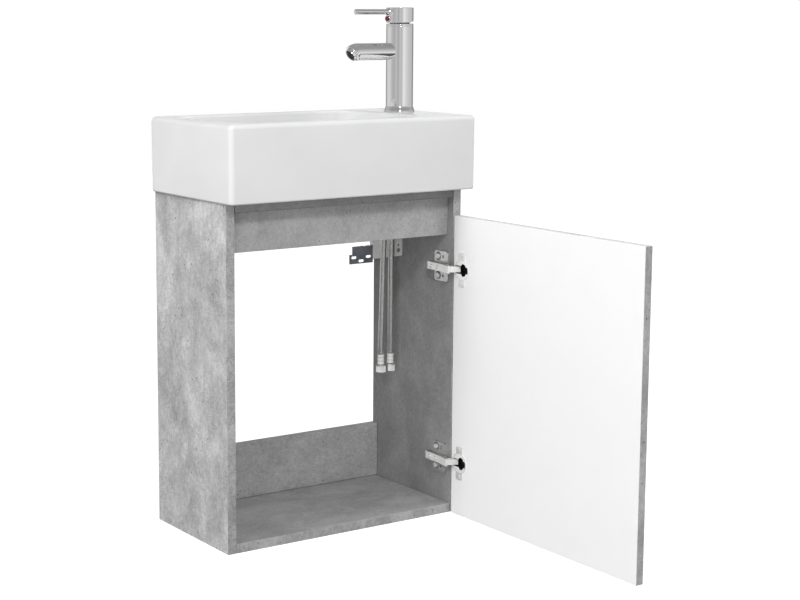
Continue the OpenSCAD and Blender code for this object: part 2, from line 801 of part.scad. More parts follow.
module hinge_arm(z) {
    color(steel) at_hinge(z) difference() {
        union() {
            for (side = [-arm_w / 2, arm_w / 2 - arm_t])
                translate([0, 0, side]) linear_extrude(arm_t) arm_outline();
            translate([0, 0, -arm_w / 2]) linear_extrude(arm_w) polygon([
                arm_inner + [-nose_r, -1], [-15.2, 12], [-13, arm_tail],
                [-13 + arm_t, arm_tail], [-15.2 + arm_t, 12], arm_inner + [-nose_r + arm_t * 0.6, 1]
            ]);
        }
        for (spot = [arm_outer, arm_inner])
            translate([spot[0], spot[1], -arm_w]) cylinder(h = 2 * arm_w, d = pin_d + 2 * fit);
        for (v = arm_screw_vs)
            translate([0, v, 0]) along_x(arm_screw_x - 4, arm_screw_x + 8, arm_screw_d + 2 * fit);
    }
}

arm_screw_vs = [plate_line - 14, plate_line + 3];
arm_screw_d = 5;
arm_screw_x = -16.2;
arm_screw_head = 3;
plate_ahead = 26;
plate_v = plate_line - plate_ahead;
rail_w = cheek_gap - 0.4;
wing_screw_z = 16;
plate_screw_d = 4;
plate_screw_l = 11;
plate_head_d = 8;
plate_head_h = 2.2;
cup_screw_d = 3.5;
cup_screw_l = 10;
cup_head_d = 7;
cup_head_h = 1.4;
cup_screw_in = 4.5;
slot_half = 0.5;
slot_depth = 1.2;
slot_share = 0.55;

module hinge_plate(z) {
    color(steel) at_hinge(z) difference() {
        union() {
            block([-plate_t, plate_v, -plate_h / 2 + 5], [0, plate_v + plate_w, plate_h / 2 - 5]);
            for (side = [-1, 1])
                for (v = [plate_v + 5, plate_v + plate_w - 5])
                    translate([0, v, side * (plate_h / 2 - 5)]) along_x(-plate_t, 0, 10);
            block([-plate_t, plate_v + 5, -plate_h / 2], [0, plate_v + plate_w - 5, plate_h / 2]);
            block([-11, plate_v + 3, -rail_w / 2], [0, plate_v + plate_w + 2, rail_w / 2]);
        }
        plate_screw_shanks(fit);
        for (side = [-1, 1])
            translate([0, plate_line - 13, side * wing_screw_z]) along_x(-plate_t - 1, 1, 5);
        for (v = arm_screw_vs)
            translate([0, v, 0]) along_x(-12, -2.5, arm_screw_d - 1 + 2 * fit);
    }
}

module plate_screw_shanks(grow) {
    for (side = [-1, 1])
        translate([0, plate_line, side * wing_screw_z])
            along_x(-plate_t - eps, plate_screw_l + grow, plate_screw_d + 2 * grow);
}

module cross_slot(x, size) {
    for (turn = [0, 90])
        rotate([turn, 0, 0]) block([x - 1, -size / 2, -slot_half], [x + slot_depth, size / 2, slot_half]);
}

module hinge_plate_screws() {
    color(steel) for (z = [hinge_z_low, hinge_z_high]) at_hinge(z) {
        plate_screw_shanks(0);
        for (side = [-1, 1])
            translate([0, plate_line, side * wing_screw_z]) difference() {
                along_x(-plate_t - plate_head_h, -plate_t, plate_head_d);
                cross_slot(-plate_t - plate_head_h, plate_head_d * slot_share);
            }
    }
}

module hinge_arm_screws() {
    color(steel) for (z = [hinge_z_low, hinge_z_high], v = arm_screw_vs) at_hinge(z) translate([0, v, 0]) {
        along_x(arm_screw_x + arm_screw_head - eps, -3, arm_screw_d - 1);
        difference() {
            along_x(arm_screw_x, arm_screw_x + arm_screw_head, arm_screw_d);
            cross_slot(arm_screw_x, arm_screw_d * 0.7);
        }
    }
}

function across(run) = [-run[1], run[0]] / norm(run);

// A link is two eyes joined by a plate with a slight bend.
// Its far end has an eye for a pin in the cup, or ends blind where end_pin is 0.
module link(from, to, along, bend, end_r, end_pin) {
    knee = from + along * (to - from) - bend * across(to - from);
    n1 = across(knee - from) * link_t / 2;
    n2 = across(to - knee) * link_t / 2;
    mitre = (n1 + n2) / (1 + n1 * n2 / (n1 * n1));
    translate([0, 0, -link_w / 2]) difference() {
        union() {
            translate(from) cylinder(h = link_w, r = eye_r);
            translate(to) cylinder(h = link_w, r = end_r);
            linear_extrude(link_w)
                polygon([from + n1, knee + mitre, to + n2, to - n2, knee - mitre, from - n1]);
        }
        translate([from[0], from[1], -1]) cylinder(h = link_w + 2, d = pin_d + 2 * fit);
        if (end_pin > 0)
            translate([to[0], to[1], -1]) cylinder(h = link_w + 2, d = end_pin + 2 * fit);
    }
}

module outer_link(z) color("gainsboro") at_hinge(z)
    link(arm_outer, cup_outer, 0.55, 1.5, cup_eye_r, cup_pin_d);
module inner_link(z) color("gainsboro") at_hinge(z)
    link(arm_inner, cup_inner, 0.5, 0, link_t * 0.85, 0);

way_depth = 1.8;
way_reach = 3.2;

// The way into the cup for both links, deep at the pins and shallow towards the door's edge.
module link_way() {
    high = link_w / 2 + 0.5;
    pin_v = -open_ahead - outer_pin[0];
    block([-flange_t - 1, cup_v, -high], [outer_pin[1] + 3.4, pin_v + eye_r + 0.5, high]);
    block([-flange_t - 1, cup_v, -high], [way_depth, pin_v + eye_r + way_reach, high]);
}

module hinge_cup(z) {
    mid = flange_h / 2;
    color(steel) at_hinge(z) translate([cup_x, 0, 0]) difference() {
        union() {
            translate([0, cup_v, 0]) along_x(-flange_t, cup_depth, cup_d - 2 * fit);
            block([-flange_t, cup_v - flange_w / 2, -mid + 3], [0, cup_v + flange_w / 2, mid - 3]);
            block([-flange_t, cup_v - flange_w / 2 + 3, -mid], [0, cup_v + flange_w / 2 - 3, mid]);
            for (dv = [-1, 1], dz = [-1, 1])
                translate([0, cup_v + dv * (flange_w / 2 - 3), dz * (mid - 3)]) along_x(-flange_t, 0, 6);
        }
        translate([0, cup_v, 0]) along_x(-flange_t - 1, cup_depth - cup_wall, cup_d - 2 * cup_wall);
        link_way();
        cup_screw_shanks(fit);
        translate([outer_pin[1], -open_ahead - outer_pin[0], -cup_d])
            cylinder(h = 2 * cup_d, d = cup_pin_d + 2 * fit);
    }
}

module cup_screw_shanks(grow) {
    for (side = [-1, 1])
        translate([0, cup_v, side * (flange_h / 2 - cup_screw_in)])
            along_x(-flange_t - eps, cup_screw_l + grow, cup_screw_d + 2 * grow);
}

module hinge_cup_screws() {
    color(steel) for (z = [hinge_z_low, hinge_z_high]) at_hinge(z) translate([cup_x, 0, 0]) {
        cup_screw_shanks(0);
        for (side = [-1, 1])
            translate([0, cup_v, side * (flange_h / 2 - cup_screw_in)]) difference() {
                along_x(-flange_t - cup_head_h, -flange_t, cup_head_d);
                cross_slot(-flange_t - cup_head_h, cup_head_d * slot_share);
            }
    }
}

module hinge_arm_pins() {
    color(steel) for (z = [hinge_z_low, hinge_z_high]) at_hinge(z)
        for (spot = [arm_outer, arm_inner]) level_pin(spot, arm_w / 2 + 0.4, pin_d);
}

module hinge_cup_pins() {
    color(steel) for (z = [hinge_z_low, hinge_z_high]) at_hinge(z)
        level_pin(cup_outer, cup_pin_half, cup_pin_d);
}

module hinge_plate_upper() hinge_plate(hinge_z_high);
module hinge_plate_lower() hinge_plate(hinge_z_low);
module hinge_arm_upper() hinge_arm(hinge_z_high);
module hinge_arm_lower() hinge_arm(hinge_z_low);
module outer_link_upper() outer_link(hinge_z_high);
module outer_link_lower() outer_link(hinge_z_low);
module inner_link_upper() inner_link(hinge_z_high);
module inner_link_lower() inner_link(hinge_z_low);
module hinge_cup_upper() hinge_cup(hinge_z_high);
module hinge_cup_lower() hinge_cup(hinge_z_low);

// Door: drawn open at a right angle, as in the photograph, with its white face towards the opening.

module door_panel() {
    x = inner_x + open_side;
    y1 = -cab_d - open_ahead;
    y0 = y1 - door_w;
    r = door_edge_r;
    far = x + board_t;
    color("whitesmoke") difference() {
        union() {
            block([x, y0, door_z], [far - r, y1, door_z + door_h]);
            block([x, y0 + r, door_z], [far, y1 - r, door_z + door_h]);
            for (y = [y0 + r, y1 - r])
                translate([far - r, y, door_z]) cylinder(h = door_h, r = r);
        }
        for (z = [hinge_z_low, hinge_z_high]) at_hinge(z) translate([cup_x, 0, 0]) {
            translate([0, cup_v, 0]) along_x(-1, cup_depth + fit, cup_d);
            cup_screw_shanks(fit);
            link_way();
            translate([outer_pin[1], -open_ahead - outer_pin[0], -cup_pin_half - fit])
                cylinder(h = 2 * cup_pin_half + 2 * fit, d = cup_pin_d + 2 * fit);
        }
    }
}

left_side_panel();
right_side_panel();
bottom_panel();
top_front_stretcher();
top_rear_stretcher();
fascia_rail();
lower_back_rail();
carcass_dowels();
hanger_housing_left();
hanger_housing_right();
hanger_hook_left();
hanger_hook_right();
hanger_screws();
wall_plate_left();
wall_plate_right();
basin();
waste_flange();
waste_gasket();
waste_body();
waste_nut();
waste_plug();
tap_body();
tap_base_ring();
tap_spout();
tap_aerator();
tap_cartridge();
tap_cartridge_nut();
tap_rotor();
tap_stem();
tap_head();
tap_lever();
tap_mark();
tap_stud();
tap_gasket();
tap_washer();
tap_nut();
hose_left();
hose_right();
hose_fittings();
hose_ferrules();
union_nuts();
door_panel();
hinge_plate_upper();
hinge_plate_lower();
hinge_arm_upper();
hinge_arm_lower();
outer_link_upper();
outer_link_lower();
inner_link_upper();
inner_link_lower();
hinge_cup_upper();
hinge_cup_lower();
hinge_arm_pins();
hinge_cup_pins();
hinge_plate_screws();
hinge_arm_screws();
hinge_cup_screws();
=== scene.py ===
"""Narrow wall-hung vanity unit with a concrete-look cabinet, a ceramic basin and a lever mixer tap.

Metres. The origin is on the wall, at the middle of the cabinet's width and at its underside.
+X is to the right seen from the front, +Y goes into the wall and +Z is up.
"""
import math

import bmesh
import bpy
import numpy as np
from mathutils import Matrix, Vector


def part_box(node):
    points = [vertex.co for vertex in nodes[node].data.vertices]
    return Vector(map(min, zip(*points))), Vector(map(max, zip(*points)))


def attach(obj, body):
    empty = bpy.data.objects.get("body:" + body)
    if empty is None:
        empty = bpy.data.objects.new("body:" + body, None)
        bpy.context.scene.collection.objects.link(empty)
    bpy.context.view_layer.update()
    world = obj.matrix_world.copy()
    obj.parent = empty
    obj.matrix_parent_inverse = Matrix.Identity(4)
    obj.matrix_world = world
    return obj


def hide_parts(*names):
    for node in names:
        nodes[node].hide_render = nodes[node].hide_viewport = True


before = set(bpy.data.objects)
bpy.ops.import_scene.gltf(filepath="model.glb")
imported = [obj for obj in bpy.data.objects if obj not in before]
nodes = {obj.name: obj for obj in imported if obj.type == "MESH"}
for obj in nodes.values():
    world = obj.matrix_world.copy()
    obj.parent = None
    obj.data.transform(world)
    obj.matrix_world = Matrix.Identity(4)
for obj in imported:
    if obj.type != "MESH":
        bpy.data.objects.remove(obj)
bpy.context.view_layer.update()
scene = bpy.context.scene
scene.view_settings.view_transform = "Standard"

# Camera
# It stands to the left of the unit, a little above the basin, and looks slightly down at it. It was
# fitted to the view of a level camera with a far larger shift, solved from the photograph's edges.
CAMERA_AT = (-1.4954, -2.4306, 0.8303)
CAMERA_TURN = -32.84
CAMERA_TILT = 8.33
SENSOR = 36.0
FOCAL_PIXELS = 1706.0
PHOTO_W = 800.0
PHOTO_H = 600.0
AXIS_U = 309.5
AXIS_V = 262.0

lens = bpy.data.cameras.new("camera")
lens.sensor_width = SENSOR
lens.lens = FOCAL_PIXELS * SENSOR / PHOTO_W
lens.shift_x = (PHOTO_W / 2 - AXIS_U) / PHOTO_W
lens.shift_y = (AXIS_V - PHOTO_H / 2) / PHOTO_W
lens.clip_end = 100.0
camera = bpy.data.objects.new("camera", lens)
camera.location = CAMERA_AT
camera.rotation_euler = (math.pi / 2 - math.radians(CAMERA_TILT), 0, math.radians(CAMERA_TURN))
scene.collection.objects.link(camera)
scene.camera = camera

# Braided hoses
# Two rubber hoses under a braid of fine steel wire, screwed into the tap from below.
# They leave the tap straight down and hang free inside the cabinet.
TAP_X, TAP_Y = 0.186, -0.103
BASIN_TOP = 0.666
HOSE_D = 0.010
HOSE_RUNS = {
    "left": [(-0.008, 0, -0.026), (-0.008, 0, -0.040), (-0.009, 0.001, -0.076),
             (-0.013, 0.009, -0.126), (-0.0165, 0.016, -0.186), (-0.018, 0.018, -0.246),
             (-0.020, 0.018, -0.326), (-0.022, 0.018, -0.396), (-0.022, 0.018, -0.416)],
    "right": [(0.008, 0, -0.026), (0.008, 0, -0.040), (0.007, 0.001, -0.076),
              (0.002, 0.009, -0.126), (-0.001, 0.016, -0.186), (-0.0015, 0.018, -0.246),
              (-0.002, 0.018, -0.326), (-0.002, 0.018, -0.396), (-0.002, 0.018, -0.416)],
}


def smooth_piece(name, points, faces, material):
    """Makes a mesh object of points and faces, with smooth shading and its finish."""
    mesh = bpy.data.meshes.new(name)
    mesh.from_pydata(np.asarray(points).reshape(-1, 3).tolist(), [], faces)
    mesh.materials.append(material)
    mesh.shade_smooth()
    piece = bpy.data.objects.new(name, mesh)
    scene.collection.objects.link(piece)
    return piece


def grid_faces(rows, columns, capped=False):
    """Quads between neighbouring rows of points, whose last column joins the first. A capped grid
    also has a face over each end."""
    row, column = np.meshgrid(np.arange(rows - 1), np.arange(columns), indexing="ij")
    a = row * columns + column
    b = row * columns + (column + 1) % columns
    faces = np.stack([a, b, b + columns, a + columns], axis=-1).reshape(-1, 4).tolist()
    if capped:
        faces.append(list(range(columns))[::-1])
        faces.append([(rows - 1) * columns + k for k in range(columns)])
    return faces


def smooth_route(route, count):
    """A curve through the route's points, cubic between each two, at equal steps of its length."""
    p = np.asarray(route, float)
    before = np.vstack([2 * p[0] - p[1], p[:-1]])[:-1]
    after = np.vstack([p[2:], 2 * p[-1] - p[-2]])
    t = np.linspace(0, 1, 60)[:, None, None]
    a, b, c, d = before, p[:-1], p[1:], after
    fine = 0.5 * (2 * b + (c - a) * t + (2 * a - 5 * b + 4 * c - d) * t ** 2
                  + (3 * b - a - 3 * c + d) * t ** 3)
    fine = np.swapaxes(fine, 0, 1).reshape(-1, 3)
    along = np.concatenate([[0], np.cumsum(np.linalg.norm(np.diff(fine, axis=0), axis=1))])
    wanted = np.linspace(0, along[-1], count)
    return np.stack([np.interp(wanted, along, fine[:, k]) for k in range(3)], axis=1)


def new_material(name, color, metallic=0.0, roughness=0.5, **sockets):
    """A material whose even values sit on the shader's own sockets. Returns it, its nodes and the shader."""
    material = bpy.data.materials.new(name)
    material.use_nodes = True
    tree = material.node_tree
    shader = tree.nodes["Principled BSDF"]
    shader.inputs["Base Color"].default_value = (*color, 1)
    shader.inputs["Metallic"].default_value = metallic
    shader.inputs["Roughness"].default_value = roughness
    for socket, value in sockets.items():
        shader.inputs[socket.replace("_", " ")].default_value = value
    return material, tree, shader


def add_node(tree, kind, sockets=None, **settings):
    """Adds a node; sockets holds plain values and the output sockets that feed its inputs."""
    node = tree.nodes.new(kind)
    for name, value in settings.items():
        setattr(node, name, value)
    for name, value in (sockets or {}).items():
        if isinstance(value, bpy.types.NodeSocket):
            tree.links.new(value, node.inputs[name])
        else:
            node.inputs[name].default_value = value
    return node


def place_on(tree, scale=(1, 1, 1), shift=(0, 0, 0)):
    """The piece's own coordinates, scaled and shifted."""
    coords = add_node(tree, "ShaderNodeTexCoord")
    mapping = add_node(tree, "ShaderNodeMapping", {"Scale": scale, "Location": shift})
    tree.links.new(coords.outputs["Object"], mapping.inputs["Vector"])
    return mapping.outputs["Vector"]


def noise(tree, where, scale, detail=4.0, roughness=0.55, distortion=0.0):
    return add_node(tree, "ShaderNodeTexNoise", {
        "Vector": where, "Scale": scale, "Detail": detail, "Roughness": roughness, "Distortion": distortion,
    }).outputs["Fac"]


def spread(tree, value, low, high, to_low, to_high):
    """Stretches a value's range low to high over to_low to to_high, and stops at both ends."""
    return add_node(tree, "ShaderNodeMapRange", {
        "Value": value, "From Min": low, "From Max": high, "To Min": to_low, "To Max": to_high,
    }).outputs["Result"]


def arithmetic(tree, operation, a, b):
    return add_node(tree, "ShaderNodeMath", {0: a, 1: b}, operation=operation).outputs[0]


def bump(tree, shader, height, strength, distance):
    node = add_node(tree, "ShaderNodeBump", {"Height": height, "Strength": strength, "Distance": distance})
    tree.links.new(node.outputs["Normal"], shader.inputs["Normal"])


def tinted(tree, shader, factor, dark, light):
    """Base colour that runs from dark to light as the factor goes from 0 to 1."""
    ramp = add_node(tree, "ShaderNodeValToRGB", {"Fac": factor})
    ramp.color_ramp.elements[0].color = (*dark, 1)
    ramp.color_ramp.elements[1].color = (*light, 1)
    tree.links.new(ramp.outputs["Color"], shader.inputs["Base Color"])
    return ramp


def braid_material():
    """Steel wire with painted shade in the grooves between the strands, and a little change from strand to
    strand.
    """
    material, tree, shader = new_material("braid", (0.5, 0.5, 0.5), 0.92, 0.22)
    groove = add_node(tree, "ShaderNodeAttribute", attribute_name="groove").outputs["Fac"]
    grime = noise(tree, place_on(tree), 220.0, 3.0)
    # Painted shade: where the strands' height falls into the grooves, the colour runs to near black.
    tinted(tree, shader, arithmetic(tree, "MULTIPLY", groove, spread(tree, grime, 0.3, 0.7, 0.75, 1.0)),
           (0.05, 0.05, 0.05), (0.88, 0.875, 0.865))
    return material


STRANDS = 12
STRAND_RISE = 0.0085
WIRE_RELIEF = 0.00022


def braided_tube(name, path, around, material):
    """A tube along the path. Its radius rises and falls with two sets of crossing helices:
    each strand is a cosine hump across its helix, and the sets pass over each other in turn."""
    tangent = np.gradient(path, axis=0)
    tangent /= np.linalg.norm(tangent, axis=1)[:, None]
    side = np.cross((0.0, 1.0, 0.0), tangent)
    side /= np.linalg.norm(side, axis=1)[:, None]
    front = np.cross(tangent, side)
    along = np.concatenate([[0], np.cumsum(np.linalg.norm(np.diff(path, axis=0), axis=1))])[:, None]
    angle = np.linspace(0, 2 * math.pi, around, endpoint=False)[None, :]
    rise = 2 * math.pi * along / STRAND_RISE
    one = STRANDS * angle / 2 + rise
    two = STRANDS * angle / 2 - rise
    over = 0.5 + 0.5 * np.tanh(4 * np.sin(one / 2) * np.sin(two / 2))
    height = np.abs(np.cos(one)) ** 0.7 * over + np.abs(np.cos(two)) ** 0.7 * (1 - over)
    radius = HOSE_D / 2 - WIRE_RELIEF + WIRE_RELIEF * height
    points = (path[:, None, :] + radius[..., None]
              * (np.cos(angle)[..., None] * side[:, None, :] + np.sin(angle)[..., None] * front[:, None, :]))
    piece = smooth_piece(name, points, grid_faces(len(path), around, capped=True), material)
    # The strands' height is kept on the points; the braid paints shade in the grooves by it.
    shade = piece.data.attributes.new("groove", "FLOAT", "POINT")
    shade.data.foreach_set("value", height.astype(np.float32).ravel())
    return piece


braid = braid_material()
hoses = {}
for side, run in HOSE_RUNS.items():
    route = [(TAP_X + x, TAP_Y + y, BASIN_TOP + z) for x, y, z in run]
    path = smooth_route(route, 780)
    hose = braided_tube("braided_hose_" + side, path, 72, braid)
    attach(hose, "cabinet")
    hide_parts("hose_" + side)
    hoses[side] = (hose, path)

# Hose ends
# Each hose is crimped into nickel-plated steel ferrules. The upper one ends in a threaded tail, and
# the lower one in a sealing cone that holds a loose hexagon union nut.
FERRULE_R = 0.0058
FERRULE_L = 0.019
PRESSED = 0.0006
CHAMFER_SLOPE = 2.6
NUT_AF = {"left": 0.0165, "right": 0.0118}
NUT_H = 0.012
NUT_TALL = 0.0105
NUT_GAP = 0.0007
NUT_BORE = {"left": 0.0121, "right": 0.0086}
NUT_HANG = {"left": (0, 0, NUT_GAP), "right": (0.0013, -0.0009, NUT_GAP)}


def held(profile, reach=0.0006):
    """The profile with a point added near both ends of each long run. Smooth shading then stays
    straight along the run and turns only at its corners."""
    p = np.asarray(profile, float)
    step = np.diff(p, axis=0)
    length = np.linalg.norm(step, axis=1)[:, None]
    near = np.where(length > 6 * reach, reach / np.maximum(length, 1e-12), 0.5)
    rows = np.stack([p[:-1], p[:-1] + step * near, p[1:] - step * near], axis=1)
    return np.vstack([rows.reshape(-1, 2), p[-1:]])


SHARP_ANGLE = math.radians(38)


def tidy_mesh(piece):
    """Merges doubled points, turns every face outwards and keeps the steep corners sharp."""
    work = bmesh.new()
    work.from_mesh(piece.data)
    bmesh.ops.remove_doubles(work, verts=work.verts, dist=1e-6)
    bmesh.ops.dissolve_degenerate(work, edges=work.edges, dist=1e-7)
    bmesh.ops.recalc_face_normals(work, faces=work.faces)
    work.to_mesh(piece.data)
    work.free()
    piece.data.shade_smooth()
    piece.data.set_sharp_from_angle(angle=SHARP_ANGLE)


def put_in_scene(name, points, faces, body, material):
    """A tidy piece of points and faces that rides on its body."""
    piece = smooth_piece(name, points, faces, material)
    tidy_mesh(piece)
    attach(piece, body)
    return piece


def turned(name, centre, profile, body, material, around=64, axis=(0, 0, 1)):
    """A turned piece: the profile's (radius, height) pairs carried round an axis through centre."""
    profile = held(profile)
    up = np.asarray(axis, float)
    up /= np.linalg.norm(up)
    first = np.cross(up, (0.0, 1.0, 0.0) if abs(up[1]) < 0.9 else (1.0, 0.0, 0.0))
    first /= np.linalg.norm(first)
    second = np.cross(up, first)
    angle = np.linspace(0, 2 * math.pi, around, endpoint=False)
    ring = np.cos(angle)[:, None] * first + np.sin(angle)[:, None] * second
    points = np.asarray(centre) + profile[:, 0, None, None] * ring[None] + profile[:, 1, None, None] * up
    return put_in_scene(name, points, grid_faces(len(points), around), body, material)


def stepped(corner, towards, reach):
    """The point at that reach from the corner towards the next one, or 0.45 of the way if nearer."""
    way = towards - corner
    length = np.linalg.norm(way)
    return corner + way / max(length, 1e-9) * min(reach, 0.45 * length)


def eased(corners, radius, steps=5):
    """A profile through the corners whose inner corners are rounded by a quadratic curve."""
    p = np.asarray(corners, float)
    out = [p[:1]]
    t = np.linspace(0, 1, steps)[:, None]
    for before, corner, after in zip(p[:-2], p[1:-1], p[2:]):
        start, end = stepped(corner, before, radius), stepped(corner, after, radius)
        out.append((1 - t) ** 2 * start + 2 * t * (1 - t) * corner + t ** 2 * end)
    out.append(p[-1:])
    return np.concatenate(out)


def rough_between(tree, shader, value, low, high):
    """Gloss that changes over the piece: roughness runs from low to high with the value."""
    tree.links.new(spread(tree, value, 0.3, 0.7, low, high), shader.inputs["Roughness"])


def nickel_material(name, color, roughness, metallic):
    """Bright plated steel with a faint haze and rubbed patches in its gloss. Also returns its nodes
    and the shader."""
    material, tree, shader = new_material(name, color, metallic, roughness)
    haze = noise(tree, place_on(tree), 90.0, 5.0)
    rough_between(tree, shader, haze, roughness * 0.75, roughness * 1.15)
    tinted(tree, shader, spread(tree, noise(tree, place_on(tree), 35.0), 0.3, 0.7, 0.0, 1.0),
           tuple(0.86 * c for c in color), color)
    bump(tree, shader, noise(tree, place_on(tree), 600.0, 2.0), 0.05, 0.0002)
    return material, tree, shader


def mixed_into(tree, shader, factor, other):
    """Takes the base colour over to another one, even or from a node, as the factor goes to 1."""
    mix = add_node(tree, "ShaderNodeMix", {"Factor": factor}, data_type="RGBA")
    tree.links.new(shader.inputs["Base Color"].links[0].from_socket, mix.inputs["A"])
    if isinstance(other, bpy.types.NodeSocket):
        tree.links.new(other, mix.inputs["B"])
    else:
        mix.inputs["B"].default_value = (other, other, other, 1)
    tree.links.new(mix.outputs["Result"], shader.inputs["Base Color"])


def coordinate(tree, axis):
    """One of the piece's own coordinates, named X, Y or Z."""
    return add_node(tree, "ShaderNodeSeparateXYZ", {"Vector": place_on(tree)}).outputs[axis]


NICKEL_COLOR = (0.98, 0.975, 0.96)
NECK = 0.0022
nickel = nickel_material("nickel", NICKEL_COLOR, 0.20, 0.12)[0]


def sleeve_nickel(below):
    """The same plating with painted shade on its neck, where the sleeve disappears into its nut: near black
    below the given height.
    """
    material, tree, shader = nickel_material("nickel_sleeve_shaded_neck", NICKEL_COLOR, 0.20, 0.25)
    neck_shade = spread(tree, coordinate(tree, "Z"), below, below + 0.0003, 1.0, 0.0)
    # Painted shade: the neck below that height is near black.
    mixed_into(tree, shader, neck_shade, 0.02)
    return material


# The lower sleeves' finish, with painted shade on the neck.
nickel_shaded_neck = sleeve_nickel(BASIN_TOP + HOSE_RUNS["left"][-1][2] - FERRULE_L + NECK)


def ferrule_profile(length, neck=0.0):
    """A crimped sleeve: a plain rim at each end and two pressed-in rings between them. Its foot can
    be drawn in to a short neck."""
    z = np.linspace(0, length, 61)
    pressed = sum(PRESSED * np.exp(-((z - share * length) / 0.0016) ** 2) for share in (0.36, 0.66))
    rim = np.minimum(1, np.minimum(z, length - z) / 0.0007)
    radius = FERRULE_R - PRESSED * (1 - np.sqrt(1 - (1 - rim) ** 2)) - pressed
    radius = np.where(z < neck, 0.55 * FERRULE_R, radius)
    return np.vstack([[[0, 0]], np.stack([radius, z], axis=1), [[0, length]]])


def hexagon_nut(name, centre, across, height, bore, turn, body, material):
    """A nut: its outline is the lesser of the hexagon's flats and a cone at each end, so the corners
    come out chamfered. The inside is a plain bore, and one closed grid carries both."""
    angle = np.linspace(0, 2 * math.pi, 144, endpoint=False)
    flats = across / 2 / np.cos((angle + math.pi / 6) % (math.pi / 3) - math.pi / 6)
    z = np.concatenate([[0], np.linspace(0, 0.002, 7), np.linspace(height - 0.002, height, 7), [height]])
    end = np.minimum(z, height - z)[:, None]
    cone = across / 2 - 0.0002 + CHAMFER_SLOPE * end
    outside = np.minimum(flats[None, :], cone)
    outside[0] = outside[-1] = bore / 2 + 0.0004
    radius = np.vstack([outside, np.full((3, len(angle)), bore / 2)])
    z = np.concatenate([z, [height - 0.0004, 0.0004, 0.0004]])
    radius = np.vstack([radius, outside[:1]])
    z = np.concatenate([z, [0]])
    points = np.stack([radius * np.cos(angle + turn), radius * np.sin(angle + turn),
                       np.repeat(z[:, None], len(angle), axis=1)], axis=-1) + np.asarray(centre)
    return put_in_scene(name, points, grid_faces(len(z), len(angle)), body, material)


for side, (hose, path) in hoses.items():
    top, foot = path[0], path[-1]
    upper = turned("upper_ferrule_" + side, top, ferrule_profile(FERRULE_L), "cabinet",
                   nickel)
    turned("hose_tail_" + side, top + (0, 0, FERRULE_L),
           eased([(0, 0), (0.004, 0), (0.004, 0.036), (0, 0.036)], 0.0004),
           "cabinet", nickel)
    sleeve = turned("lower_ferrule_" + side, foot - (0, 0, FERRULE_L), ferrule_profile(FERRULE_L, NECK),
                    "cabinet", nickel_shaded_neck)
    flange_r = 0.42 * NUT_BORE[side]
    cone = turned("sealing_cone_" + side, foot - (0, 0, FERRULE_L + NUT_H),
                  eased([(0, 0.002), (0.0035, 0.002), (0.0035, 0.006), (flange_r, 0.006),
                         (flange_r, 0.009), (0.0035, 0.009), (0.0035, 0.0125), (0, 0.0125)], 0.0003),
                  "cabinet", nickel)
    nut = hexagon_nut("union_nut_" + side, foot - (0, 0, FERRULE_L + NUT_H) + NUT_HANG[side],
                      NUT_AF[side], NUT_TALL, NUT_BORE[side], math.radians(30),
                      "cabinet", nickel)
    if side == "left":
        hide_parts("hose_fittings")
        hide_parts("hose_ferrules")
        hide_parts("union_nuts")

# Cabinet boards
# Chipboard with a printed concrete-look melamine face. Each cut edge carries a thin glued band.
# Dowels join the boards, so no screw shows.
EDGE_EASE = 0.0009
JOINT = 0.0007
PRINT_GREY = 0.415


def decor_material(name, grain, shift, tone=1.0, depth_of_print=1.0):
    """Concrete print: broad clouds, drifts and mottling, fine strokes drawn out along the grain, and
    pores in loose groups. Tone and depth set how light and how strong the print is drawn on a board;
    the boards get lit and shaded copies of the one print this way, as painted light and shade.
    Also returns its nodes and the shader."""
    material, tree, shader = new_material(name, (0.42, 0.42, 0.42), 0.0, 0.5)
    drawn, stroked = [1.0, 1.0, 1.0], [1.0, 1.0, 1.0]
    drawn[grain], stroked[grain] = 0.75, 0.5
    even = place_on(tree, (1, 1, 1), shift)
    where = place_on(tree, tuple(drawn), shift)
    along = place_on(tree, tuple(stroked), shift)
    mottle = noise(tree, even, 150.0, 5.0, 0.7)
    layers = ((noise(tree, where, 12.0, 3.0, 0.5, 0.8), 0.32),
              (noise(tree, where, 38.0, 5.0, 0.62, 0.5), 0.25),
              (mottle, 0.24),
              (noise(tree, along, 290.0, 3.0, 0.6), 0.17),
              (noise(tree, even, 480.0, 2.0, 0.6), 0.24))
    total = None
    for layer, share in layers:
        part = arithmetic(tree, "MULTIPLY", layer, share)
        total = part if total is None else arithmetic(tree, "ADD", total, part)
    level = sum(share for layer, share in layers) / 2
    ramp = tinted(tree, shader, spread(tree, total, level - 0.12, level + 0.12, 0.0, 1.0),
                  (tone * (PRINT_GREY - 0.155 * depth_of_print),) * 3,
                  (tone * (PRINT_GREY + 0.185 * depth_of_print),) * 3)
    middle = ramp.color_ramp.elements.new(0.5)
    middle.color = (*(tone * PRINT_GREY,) * 3, 1)
    groups = noise(tree, even, 11.0, 3.0, 0.6)
    pores = pore_mask(tree, where, 84.0, 0.15, noise(tree, even, 30.0, 2.0), 0.505)
    pits = pore_mask(tree, even, 240.0, 0.25, groups, 0.475)
    depth = arithmetic(tree, "MAXIMUM", pores, arithmetic(tree, "MULTIPLY", pits, 0.9))
    mixed_into(tree, shader, arithmetic(tree, "MULTIPLY", depth, min(0.8 * depth_of_print, 0.85)), 0.08)
    rough_between(tree, shader, mottle, 0.42, 0.58)
    relief = arithmetic(tree, "SUBTRACT", arithmetic(tree, "MULTIPLY", mottle, 0.3), depth)
    bump(tree, shader, relief, 0.12, 0.0005)
    return material, tree, shader


